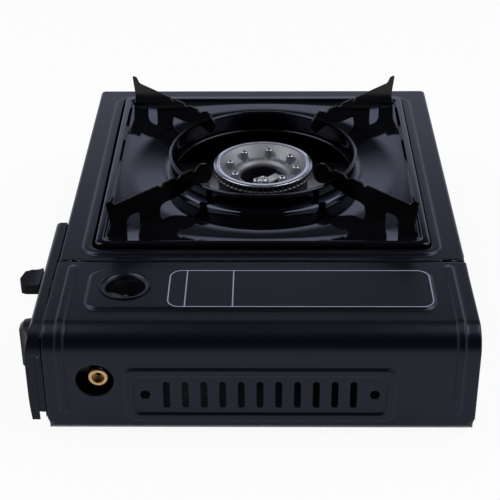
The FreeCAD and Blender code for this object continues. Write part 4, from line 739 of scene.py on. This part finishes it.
def makeLid():
    # skin point = section(s) + normal(s) * (height(s, v) - drop(v)); the drop turns the two ends down
    c = lid
    half = (place["back"] - place["front"]) / 2
    field = lengthAt(c["frameBase"] + c["frameHigh"] / 2)
    holeS, holeV = place["side"] - c["holeSide"] - c["start"], c["holeFront"] - half
    labelFrom, labelTo = c["labelInset"] - c["seamGap"], c["labelInset"] - c["seamGap"] + c["labelWide"]
    beadAt = half - c["beadInset"]
    linesS = spacedLines(0, c["total"], 1.6, [
        (0, 2, 0.5), (labelFrom - 1, labelFrom + 3.2, 0.4), (labelTo - 3.2, labelTo + 1, 0.4),
        (holeS - 17, holeS + 17, 0.9), (c["flat"] - 1, c["flat"] + c["arc"] + 1, 1.2),
        (field - 20.5, field - 10.5, 0.45), (field + 10.5, field + 20.5, 0.45),
        (field - 11, field + 11, 0.95),
        (c["total"] - 2, c["total"], 0.5),
        (lengthAt(c["hoseHigh"]) - 12.5, lengthAt(c["hoseHigh"]) + 12.5, 0.8)])
    linesV = spacedLines(-half + c["edgeRound"], half - c["edgeRound"], 1.8,
                         [(bead - 4.2, bead + 2.4, 0.42) for bead in (-beadAt, beadAt)]
                         + sum(lidRows.values(), []))
    turn = np.linspace(0, np.pi / 2, 5)[1:]
    endV = np.concatenate([half - c["edgeRound"] * (1 - np.sin(turn)), [half] * 3])
    endDrop = np.concatenate([c["edgeRound"] * (1 - np.cos(turn)), [2.4, 3.8, c["flange"]]])
    v = np.concatenate([-endV[::-1], linesV, endV])
    drop = np.concatenate([endDrop[::-1], np.zeros(len(linesV)), endDrop])
    gridS, gridV = np.meshgrid(linesS, v, indexing="ij")
    newS, newV, keep = cutHoles(gridS, gridV, lidHoles, 0.6)
    flat = np.abs(gridV) < half - c["edgeRound"] - 0.2
    gridS = np.where(flat, np.clip(newS, 0, c["total"]), gridS)
    gridV = np.where(flat, newV, gridV)
    offset = lidHeight(gridS, gridV) - drop
    x, z, normalX, normalZ = lidSection(gridS)
    points = np.stack([x + normalX * offset, gridV + place["midY"], z + normalZ * offset], -1)
    piece = addMesh("cartridgeLid", points.reshape(-1, 3), gridFaces(*gridS.shape, keep=keep),
                    mats["lidPaint"], "lid", node="cartridge_lid", slotName="lid_paint")
    faceUp(piece)
    thicken(piece, c["sheet"])
    # rolled edge of the round hole: a quarter circle down from the label panel
    a = np.linspace(0, np.pi / 2, 10)
    level = place["top"] + c["labelRise"]
    roll = c["hole"] - c["holeIn"]
    edge = np.stack([c["hole"] - roll * np.sin(a), level - roll * (1 - np.cos(a))], -1)
    edge = np.concatenate([[[c["hole"] + 0.3, level - 0.005]], edge, [[c["holeIn"], level - roll - 1.4]]])
    rim = revolve("lidHoleRoll", edge, (c["start"] + holeS, place["midY"] + holeV, 0), 96, mats["lidPaint"],
                  "lid", slotName="lid_paint")
    thicken(rim, c["sheet"], 1.0)


makeLid()

ear = {"back": 4.35, "drop": 3.4, "thick": 0.78, "inset": 0.4}


def makeEars():
    # hinge ears: plates that hang from the lid's two ends round the pins
    outline = roundLoop([(-3.25, 2.9), (-3.25, -1.0, 3.0), (-1.6, -3.4, 3.0), (1.8, -3.4, 3.0),
                         (5.5, -1.6, 2.0), (9.0, -1.6), (9.0, 2.9)], 0.5, 5)
    hingeX, hingeZ = place["seam"] + ear["back"], place["top"] - ear["drop"]
    for tag, y in (("Front", place["front"] + ear["inset"]), ("Back", place["back"] - ear["inset"])):
        plate("lidEar" + tag, outline, lambda u, w, t: np.stack([hingeX + u, y + t, hingeZ + w], -1),
              ear["thick"], mats["lidPaint"], "lid", 0.15, slotName="lid_paint")


makeEars()

label = {"front": -56.6, "back": 104.2, "near": 13.2, "far": 54.4, "corner": 7.5, "line": 0.72, "lift": 0.03,
         "firstBar": -46.2, "secondBar": -17.4}


def makeLabelLine():
    # printed border of the bare label place: two rounded outlines a line's width apart, and two cross bars
    c = label
    level = place["top"] + lid["labelRise"] + c["lift"]
    x0, x1 = place["seam"] + c["near"], place["seam"] + c["far"]
    y0, y1 = place["midY"] + c["front"], place["midY"] + c["back"]
    even = np.linspace(0.1, 0.9, 5)
    w = c["line"]
    outer = ringPoints((x0, x1, y0, y1), (c["corner"],) * 2, level, even, even)
    inner = ringPoints((x0 + w, x1 - w, y0 + w, y1 - w), (c["corner"] - w,) * 2, level, even, even)
    bars = [[[x0 + w, y, level], [x1 - w, y, level], [x1 - w, y + w, level], [x0 + w, y + w, level]]
            for y in (place["midY"] + c["firstBar"], place["midY"] + c["secondBar"])]
    n = len(outer)
    points = np.concatenate([outer, inner] + [np.array(bar) for bar in bars])
    i = np.arange(n)
    ring = np.stack([i, (i + 1) % n, n + (i + 1) % n, n + i], -1)
    faces = np.concatenate([ring, np.arange(8).reshape(2, 4) + 2 * n])
    faceUp(addMesh("labelBorder", points, faces, mats["labelInk"], "lid"))


makeLabelLine()
print("lid made")


# Drip pan, wind collar and pan supports

pan = {"halfX": 112.95, "halfY": 107.95, "seat": 69.7, "edge": 1.6, "rimWide": 4.7, "floorDrop": 2.0,
       "slope": 2.2, "corner": 4.9, "dish": 97.6, "easeIn": 11.0, "easeOut": 1.2, "dishFoot": 70.6,
       "dishDrop": 2.0, "dishEdge": 1.4, "hole": 62.0, "holeRim": 1.5, "sheet": 0.85}


def makePan():
    # rings run up the skirt, over the rim and across the floor, turning from a rounded square to circles
    p, c = place, pan
    even = np.linspace(0, 1, 46)[1:-1]
    rings = []

    def square(inset, corner, z):
        box = (p["panX"] - c["halfX"] + inset, p["panX"] + c["halfX"] - inset,
               p["panY"] - c["halfY"] + inset, p["panY"] + c["halfY"] - inset)
        rings.append(ringPoints(box, (corner, corner), z, even, even))

    square(0, c["corner"], c["seat"])
    square(0, c["corner"], p["panTop"] - c["edge"])
    for a in np.linspace(0, np.pi / 2, 9)[1:]:
        inset = c["edge"] * (1 - math.cos(a))
        square(inset, c["corner"] - 0.5 * inset, p["panTop"] - c["edge"] * (1 - math.sin(a)))
    square(c["rimWide"] - 0.8, 3.8, p["panTop"])
    for t in np.linspace(0, 1, 10):
        square(c["rimWide"] - 0.4 + c["slope"] * t, 5.0 + 1.5 * t,
               p["panTop"] - c["floorDrop"] * float(smoothStep(t)))
    floor = p["panTop"] - c["floorDrop"]
    inner = rings[-1]
    angle = np.arctan2(inner[:, 1] - p["panY"], inner[:, 0] - p["panX"])

    def circle(radius, z, share=1.0):
        ring = np.stack([p["panX"] + radius * np.cos(angle), p["panY"] + radius * np.sin(angle),
                         np.full(len(angle), z)], -1)
        rings.append(inner * [1 - share, 1 - share, 0] + ring * [share, share, 1])

    circle(c["dish"] + c["dishEdge"], floor, 0.5)
    # the dish's slope eases in and out, and its drop is the running sum of that slope
    radii = np.linspace(c["dish"], c["dishFoot"] - c["easeOut"], 30)
    steep = smoothStep((c["dish"] - radii) / c["easeIn"])
    steep = steep * smoothStep((radii - c["dishFoot"] + c["easeOut"]) / 1.6)
    fall = np.cumsum(steep) / steep.sum() * c["dishDrop"]
    for radius, depth in zip(radii, fall):
        circle(radius, floor - depth)
    circle(c["hole"] + c["holeRim"], floor - c["dishDrop"])
    circle(c["hole"], floor - c["dishDrop"] - 0.2)
    grid = np.array(rings)
    thicken(addMesh("dripPan", grid.reshape(-1, 3), gridFaces(*grid.shape[:2], wrap=True), mats["panEnamel"],
                    "pan", node="drip_pan", slotName="pan_enamel"), c["sheet"])


makePan()

collar = {"base": 73.2, "high": 13.7, "radius": 66.8, "roll": 1.3, "foot": 69.2}


def makeCollar():
    # spun ring: a flared foot, a wall and an edge rolled outwards, as one closed profile
    c = collar
    top = c["base"] + c["high"]
    r = c["radius"] - c["roll"]
    a = np.linspace(np.pi * 1.05, -0.45, 16)
    inside = [(66.4, c["base"] + 0.02), (65.9, c["base"] + 0.35), (65.35, c["base"] + 1.2),
              (65.05, c["base"] + 3.0), (64.7, top - 4.0), (64.35, top - 2.6)]
    crest = list(zip(r + c["roll"] * np.cos(a), top - c["roll"] + c["roll"] * np.sin(a)))
    outside = [(66.25, top - 2.5), (66.1, top - 3.4), (66.25, c["base"] + 4.2), (66.7, c["base"] + 2.0),
               (67.35, c["base"] + 0.7), (c["foot"], c["base"] + 0.36), (c["foot"], c["base"] + 0.02)]
    revolve("windCollar", inside + crest + outside + inside[:1], (place["panX"], place["panY"], 0), 220,
            mats["panEnamel"], "pan", node="wind_collar", slotName="pan_enamel")


makeCollar()
print("pan and collar made")

arm = {"thick": 1.4, "floor": 75.2, "pot": 96.3, "tip": 100.5, "reach": 141.8, "collarGap": 0.35}


def armOutline():
    # side view as radius from the burner's axis, height, and a corner's own radius
    f, pot, tip, reach = arm["floor"], arm["pot"], arm["tip"], arm["reach"]
    notch = collar["base"] + collar["high"] + arm["collarGap"]
    return roundLoop([
        (reach, f, 0.3), (reach - 1.2, f + 4.5, 3), (reach - 2.5, f + 9.5, 12), (reach - 0.6, tip - 6, 8),
        (reach + 0.35, tip - 0.2, 0.5), (reach - 3.4, tip - 0.2, 0.5), (reach - 6.6, pot + 0.1, 3),
        (98.2, pot, 0.4), (96.4, pot - 2.0, 0.8), (94.8, pot - 2.0, 0.8), (93.2, pot + 0.1, 0.5),
        (83.2, pot + 0.3, 0.5), (81.6, pot - 1.7, 0.8), (80.0, pot - 1.5, 0.8), (77.8, pot + 0.3, 0.5),
        (68.4, pot + 0.5, 0.5), (66.4, pot - 1.6, 0.8), (64.8, pot - 1.4, 0.8), (63.2, pot + 0.4, 0.6),
        (59.5, pot + 1.9, 3), (54.5, pot + 0.4, 5), (50.2, pot - 4.0, 5), (49.4, pot - 8.6, 4),
        (51.2, f + 8.0, 2.5), (55.0, f + 6.6, 2.5), (60.8, f + 8.3, 2), (63.9, f + 8.8, 0.8),
        (63.9, notch, 0.9), (67.1, notch, 0.9), (67.1, f + 8.6, 1.2), (72.0, f + 8.3, 3),
        (84.0, f + 6.4, 6), (93.0, f + 6.4, 2),
        (96.6, f + 5.2, 2), (97.8, f + 0.02, 0.4), (114.4, f + 0.02, 0.4), (114.4, f + 5.8, 2.5),
        (117.0, f + 8.3, 2.5), (123.6, f + 8.3, 3), (126.3, f + 5.8, 3), (126.3, f + 0.02, 0.4)], 0.5, 5)


def makeArms():
    outline = armOutline()
    for k in range(4):
        ux, uy = math.cos(math.radians(45 + 90 * k)), math.sin(math.radians(45 + 90 * k))
        plate("supportArm%d" % (k + 1), outline,
              lambda u, w, t: np.stack([place["panX"] + ux * u - uy * t,
                                        place["panY"] + uy * u + ux * t, w], -1),
              arm["thick"], mats["armEnamel"], "pan", 0.28, node="support_arm_%d" % (k + 1),
              slotName="arm_enamel")


makeArms()
print("arms made")


# Burner

crown = {"radius": 35.25, "deep": 6.2, "dish": 10.6, "ports": 60, "portDeep": 2.5, "portShare": 0.64,
         "portTop": 1.25, "portHigh": 3.6, "posts": 8, "postCircle": 23.8, "postTurn": -10.3, "seat": 4.6,
         "rimWide": 4.4, "portSteps": 16, "portEdge": 0.05, "bandEdge": 0.25, "postSteps": 28, "postTop": 5.2,
         "postRing": 1.2, "drill": 1.0}


def addFinishes(piece, *names):  # further materials of a piece, numbered from 1
    for name in names:
        piece.data.materials.append(mats[name])


def makeCrown():
    # the profile carried round the axis; on the wall the radius steps back inside every port
    c = crown
    r, top, base = c["radius"], place["crownTop"], place["crownTop"] - c["deep"]
    edge = top - c["dish"]
    heights = np.concatenate([[base + 0.2], np.linspace(base + 0.9, top - 0.9, 24), [top - 0.5]])
    wall = [(r, z) for z in heights]
    rim = [(r - 0.12, top - 0.15), (r - 0.4, top), (r - 2.4, top), (r - 4.1, top),
           (r - c["rimWide"], top - 0.08)]
    dish = roundProfile([rim[-1], (r - 5.4, top - 1.1, 1.2), (22.2, edge + 3.7, 5),
                         (19.0, edge + 3.3, 3), (16.6, edge + 1.4, 2.5), (16.2, edge - 1.6)], 1.0, 6)
    under = [(18.0, edge - 1.6), (22.0, edge + 0.6), (29.3, top - 3.0), (31.8, top - 3.4), (32.4, base)]
    profile = np.array([(32.4, base), (r - 0.3, base)] + wall + rim + dish.tolist()[1:] + under)
    steps = c["ports"] * c["portSteps"]
    a = np.linspace(0, 2 * np.pi, steps, endpoint=False)
    radius, height = np.repeat(profile[:, :1], steps, 1), np.repeat(profile[:, 1:], steps, 1)
    phase = np.abs((a * c["ports"] / (2 * np.pi)) % 1 - 0.5)
    inSlot = smoothStep((0.5 * c["portShare"] - phase) / c["portEdge"] + 0.5)[None, :]
    low = top - c["portTop"] - c["portHigh"]
    high = top - c["portTop"]
    inBand = smoothStep((height - low) / c["bandEdge"]) * smoothStep((high - height) / c["bandEdge"])
    onWall = (radius > r - 0.05) & (height < top - 0.3)
    radius = radius - np.where(onWall, c["portDeep"] * inSlot * inBand, 0)
    points = np.stack([place["panX"] + radius * np.cos(a), place["panY"] + radius * np.sin(a), height], -1)
    piece = addMesh("burnerCrown", points.reshape(-1, 3), gridFaces(len(profile), steps, wrap=True),
                    mats["castCrown"], "case", node="burner_crown", slotName="cast_crown")
    addFinishes(piece, "machined", "sootBand", "portBars")
    centre = faceCentres(piece)
    out = np.hypot(centre[:, 0] - place["panX"], centre[:, 1] - place["panY"])
    index = np.zeros(len(centre), np.int32)
    level = centre[:, 2]
    index[(level > top - 0.3) & (out > r - c["rimWide"] - 0.05)] = 1
    index[(level < high + 0.3) & (out > r - 0.4)] = 3
    # faces inside the ports take the painted shade: near black for the shade inside the slots, standing in
    # for their soot as well
    index[(level > low) & (level < high) & (out > r - 2.8) & (out < r - 1.0)] = 2
    piece.data.polygons.foreach_set("material_index", index)


def makePosts():
    # eight upright posts with a drilled top: the same profile carried round each post's axis
    c = crown
    seat = place["crownTop"] - c["dish"] + c["seat"]
    profile = np.array([(4.1, seat - 1.4), (3.5, seat - 0.5), (3.15, seat + 0.6), (2.8, seat + 2.6),
                        (2.5, seat + 4.9), (2.42, seat + 5.3), (2.2, seat + 5.55), (1.15, seat + 5.6),
                        (1.0, seat + 5.4), (0.95, seat + 1.2), (0, seat + 1.0)])
    steps = c["postSteps"]
    a = np.linspace(0, 2 * np.pi, steps, endpoint=False)
    turn = np.radians(c["postTurn"] + 360 / c["posts"] * np.arange(c["posts"]))
    axis = np.stack([place["panX"] + c["postCircle"] * np.cos(turn),
                     place["panY"] + c["postCircle"] * np.sin(turn), 0 * turn], -1)
    one = np.stack([profile[:, :1] * np.cos(a), profile[:, :1] * np.sin(a), profile[:, 1:] + 0 * a], -1)
    points = one.reshape(1, -1, 3) + axis[:, None, :]
    quads = gridFaces(len(profile), steps, wrap=True)
    faces = quads[None] + (np.arange(c["posts"]) * len(profile) * steps)[:, None, None]
    piece = addMesh("crownPosts", points.reshape(-1, 3), faces.reshape(-1, 4), mats["castCrown"], "case",
                    slotName="cast_crown")
    addFinishes(piece, "machined", "sootBand")
    centres = faceCentres(piece)
    fromAxis = np.linalg.norm(centres[:, None, :2] - axis[None, :, :2], axis=2).min(1)
    turnedTop = (centres[:, 2] - seat > c["postTop"]) & (fromAxis > c["postRing"])
    # the drilled holes take the painted shade: coloured near black for the shade inside them
    index = np.where(turnedTop, 1, np.where(fromAxis < c["drill"], 2, 0))
    piece.data.polygons.foreach_set("material_index", index.astype(np.int32))


makeCrown()
makePosts()
print("burner made")


# Screw heads and the inlet's thread

screwHead = {"recess": 0.95, "blade": 0.42, "reach": 0.62, "rings": 14, "steps": 64, "sink": 0.02}
burnerHead = {"sink": 0.05, "radius": 3.9, "rise": 1.5, "turn": 0.9}
screws = {  # node: name, axis along the screw, way the head faces, radius, height
    "regulator_screws": ("regulator", 2, 1, 2.5, 0.5), "base_screws": ("base", 2, -1, 2.9, 0.6),
    "valve_screws": ("valve", 1, -1, 2.9, 0.6)}


def makeScrewTop(name, centre, outward, radius, high, turn=0.4):
    # pan head with a cross: height = high sqrt(1 - (r/R)^4) less the recess where a point lies in the cross
    c = screwHead
    r = np.linspace(0, 1, c["rings"])[:, None] * radius
    a = np.linspace(0, 2 * np.pi, c["steps"], endpoint=False)[None, :]
    x, y = r * np.cos(a), r * np.sin(a)
    dome = high * np.sqrt(np.maximum(1 - (r / radius) ** 4, 0)) + 0 * a
    u, v = x * math.cos(turn) + y * math.sin(turn), y * math.cos(turn) - x * math.sin(turn)
    inCross = smoothStep((c["blade"] * radius * 0.5 - np.minimum(np.abs(u), np.abs(v))) / 0.12 + 0.5)
    dome = dome - c["recess"] * high * inCross * smoothStep((c["reach"] * radius - r) / 0.15 + 0.5)
    axis = Vector(outward)
    side = axis.orthogonal().normalized()
    across = axis.cross(side)
    points = (np.asarray(centre, float) + x[..., None] * np.array(side) + y[..., None] * np.array(across)
              + dome[..., None] * np.array(axis))
    addMesh(name, points.reshape(-1, 3), gridFaces(c["rings"], c["steps"], wrap=True), mats["plated"], "case",
            slotName="plated")


def solidCentres(node):
    # lowest and highest corner of each loose solid of a node, sorted by place: every vertex takes the
    # lowest number found along its edges, until no number changes
    joined = bpy.data.meshes.new("joinedSolids")
    mergeDoubles(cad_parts[node].data, joined)
    points = meshPoints(joined)
    ends = np.empty(len(joined.edges) * 2, np.int32)
    joined.edges.foreach_get("vertices", ends)
    ends = ends.reshape(-1, 2)
    bpy.data.meshes.remove(joined)
    group, before = np.arange(len(points)), None
    while before is None or (group != before).any():
        before = group.copy()
        least = group[ends].min(1)
        np.minimum.at(group, ends[:, 0], least)
        np.minimum.at(group, ends[:, 1], least)
    clouds = [points[group == number] for number in np.unique(group)]
    return sorted(((c.min(0), c.max(0)) for c in clouds), key=lambda box: tuple(np.round(box[0], 2)))


def makeScrewTops():
    # a head at the outer end of every screw, sunk a little into it
    count = 0
    for node, (name, axis, way, radius, rise) in screws.items():
        for low, high in solidCentres(node):
            centre, outward = (low + high) / 2, [0, 0, 0]
            centre[axis] = (high if way > 0 else low)[axis] - way * screwHead["sink"]
            outward[axis] = way
            makeScrewTop("%sScrewTop%d" % (name, count), centre, outward, radius, rise)
            count += 1
    low, high = nodeBox("burner_screw")
    centre, b = (low + high) / 2, burnerHead
    centre[2] = high[2] - b["sink"]
    makeScrewTop("burnerScrewTop", centre, (0, 0, 1), b["radius"], b["rise"], b["turn"])
    return count + 1


print("screw tops:", makeScrewTops())

thread = {"pitch": 1.3, "turns": 5, "root": 6.32, "crest": 6.62, "fromTip": 8.6, "inner": 5.9, "perTurn": 12}


def makeThread():
    # ridges round the inlet: radius = root + (crest - root) (1 - cos of the length over the pitch) / 2
    c = thread
    t = np.linspace(0, c["turns"], c["turns"] * c["perTurn"] + 1)
    r = c["root"] + (c["crest"] - c["root"]) * (1 - np.cos(2 * np.pi * t)) / 2
    profile = np.column_stack([r, place["inletTip"] - c["fromTip"] + t * c["pitch"]])
    ends = [[[c["inner"], height]] for height in profile[[0, -1], 1]]
    profile = np.concatenate([ends[0], profile, ends[1]])
    revolve("inletThread", profile, (0, place["inletY"], place["inletZ"]), 48, mats["brass"], "case",
            axis="x", slotName="brass")


makeThread()
print("thread made")


# Stage, light and camera

studio = {"floorPale": (0.8, 0.81, 0.84), "floorToCamera": 0.93, "floorToGloss": 0.42, "wallLow": 0.445,
          "wallMiddle": 0.478, "wallHigh": 0.508, "wall": (0.68, 0.72, 0.9), "middle": (0.36, 0.38, 0.48),
          "ceiling": (0.045, 0.047, 0.06), "frontFrom": 0.35, "frontTo": 0.8, "frontShare": 0.1,
          "sidePower": 15.0, "sideReach": 1.0, "sideHigh": 1.4, "sideWide": 1.2, "floorHalf": 6.0}


def makeFloor():
    # pale floor: plain white to the camera, pale in gloss, and it keeps the object's soft shadow
    mesh = bpy.data.meshes.new("floor")
    h = studio["floorHalf"]
    mesh.from_pydata([(-h, -h, 0), (h, -h, 0), (h, h, 0), (-h, h, 0)], [], [(0, 1, 2, 3)])
    piece = bpy.data.objects.new("floor", mesh)
    bpy.context.scene.collection.objects.link(piece)
    mat = bpy.data.materials.new("paleFloor")
    mat.use_nodes = True
    tree = mat.node_tree
    tree.nodes.clear()
    out = tree.nodes.new("ShaderNodeOutputMaterial")
    pale = addNode(tree, "ShaderNodeBsdfDiffuse", in0=(*studio["floorPale"], 1))
    white = addNode(tree, "ShaderNodeEmission", in0=(1, 1, 1, 1), in1=1.0)
    path = tree.nodes.new("ShaderNodeLightPath")
    seen = addNode(tree, "ShaderNodeMath", operation="MULTIPLY", in1=studio["floorToCamera"])
    clear = addNode(tree, "ShaderNodeMath", operation="MAXIMUM")
    gloss = addNode(tree, "ShaderNodeMath", operation="MULTIPLY", in1=studio["floorToGloss"])
    share = addNode(tree, "ShaderNodeMath", operation="ADD")
    mix = tree.nodes.new("ShaderNodeMixShader")
    wire(tree, (path, "Is Camera Ray", seen, 0), (path, "Is Glossy Ray", clear, 0),
               (path, "Is Transmission Ray", clear, 1), (clear, 0, gloss, 0), (seen, 0, share, 0),
               (gloss, 0, share, 1), (share, 0, mix, 0), (pale, 0, mix, 1), (white, 0, mix, 2),
               (mix, 0, out, 0))
    mesh.materials.append(mat)


def makeWorld():
    # studio round the object: a pale wall up to a low height, less of it in front, a dark ceiling above, and
    # plain white to the camera
    world = bpy.data.worlds.new("studio")
    bpy.context.scene.world = world
    world.use_nodes = True
    tree = world.node_tree
    tree.nodes.clear()
    out = tree.nodes.new("ShaderNodeOutputWorld")
    coord = tree.nodes.new("ShaderNodeTexCoord")
    parts = tree.nodes.new("ShaderNodeSeparateXYZ")
    behind = addNode(tree, "ShaderNodeMapRange", in1=studio["frontFrom"], in2=studio["frontTo"], in3=1.0,
                     in4=studio["frontShare"])
    ramp = tree.nodes.new("ShaderNodeValToRGB")
    stops = ramp.color_ramp.elements
    stops[0].position, stops[0].color = studio["wallLow"], (*studio["wall"], 1)
    stops[1].position, stops[1].color = studio["wallHigh"], (*studio["ceiling"], 1)
    middle = stops.new(studio["wallMiddle"])
    middle.color = (*studio["middle"], 1)
    around = tree.nodes.new("ShaderNodeBackground")
    plain = addNode(tree, "ShaderNodeBackground", in0=(1, 1, 1, 1))
    path = tree.nodes.new("ShaderNodeLightPath")
    mix = tree.nodes.new("ShaderNodeMixShader")
    wire(tree, (coord, "Generated", parts, 0), (parts, 0, behind, 0), (behind, 0, around, 1),
               (parts, 2, ramp, 0), (ramp, 0, around, 0), (path, "Is Camera Ray", mix, 0),
               (around, 0, mix, 1), (plain, 0, mix, 2), (mix, 0, out, 0))


def addLamp(name, location, target, size, power):
    lamp = bpy.data.lights.new(name, "AREA")
    lamp.shape = "RECTANGLE"
    lamp.size, lamp.size_y = size
    lamp.energy = power
    piece = bpy.data.objects.new(name, lamp)
    piece.location = location
    piece.rotation_euler = (Vector(target) - Vector(location)).to_track_quat("-Z", "Y").to_euler()
    bpy.context.scene.collection.objects.link(piece)


camera = {"x": 798.489, "y": 16.458, "z": 510.167, "yaw": -0.0161483, "pitch": 0.5439513, "roll": -0.0081039,
          "focal": 1316.053, "frame": 500, "sensor": 36.0}


def makeCamera():
    # the photograph's place and turn: ahead from yaw and pitch, then rolled about that line
    c = camera
    yaw, pitch, roll = c["yaw"], c["pitch"], c["roll"]
    ahead = Vector((-math.cos(yaw) * math.cos(pitch), math.sin(yaw) * math.cos(pitch), -math.sin(pitch)))
    right = Vector((math.sin(yaw), math.cos(yaw), 0))
    up = right.cross(ahead)
    across = right * math.cos(roll) + up * math.sin(roll)
    upright = up * math.cos(roll) - right * math.sin(roll)
    lens = bpy.data.cameras.new("camera")
    lens.sensor_width = c["sensor"]
    lens.lens = c["focal"] / c["frame"] * c["sensor"]
    lens.clip_start, lens.clip_end = 0.05, 50
    piece = bpy.data.objects.new("camera", lens)
    turn = Matrix((across, upright, -ahead)).transposed().to_4x4()
    piece.matrix_world = Matrix.Translation(Vector((c["x"], c["y"], c["z"])) * mm) @ turn
    bpy.context.scene.collection.objects.link(piece)
    bpy.context.scene.camera = piece


makeFloor()
makeWorld()
for tag, side in (("Front", -1), ("Back", 1)):
    addLamp("lamp" + tag, (0.0, side * studio["sideReach"], studio["sideHigh"]), (0, 0, 0.05),
            (studio["sideWide"],) * 2, studio["sidePower"])
makeCamera()
bpy.context.scene.view_settings.view_transform = "Standard"
print("stage ready")
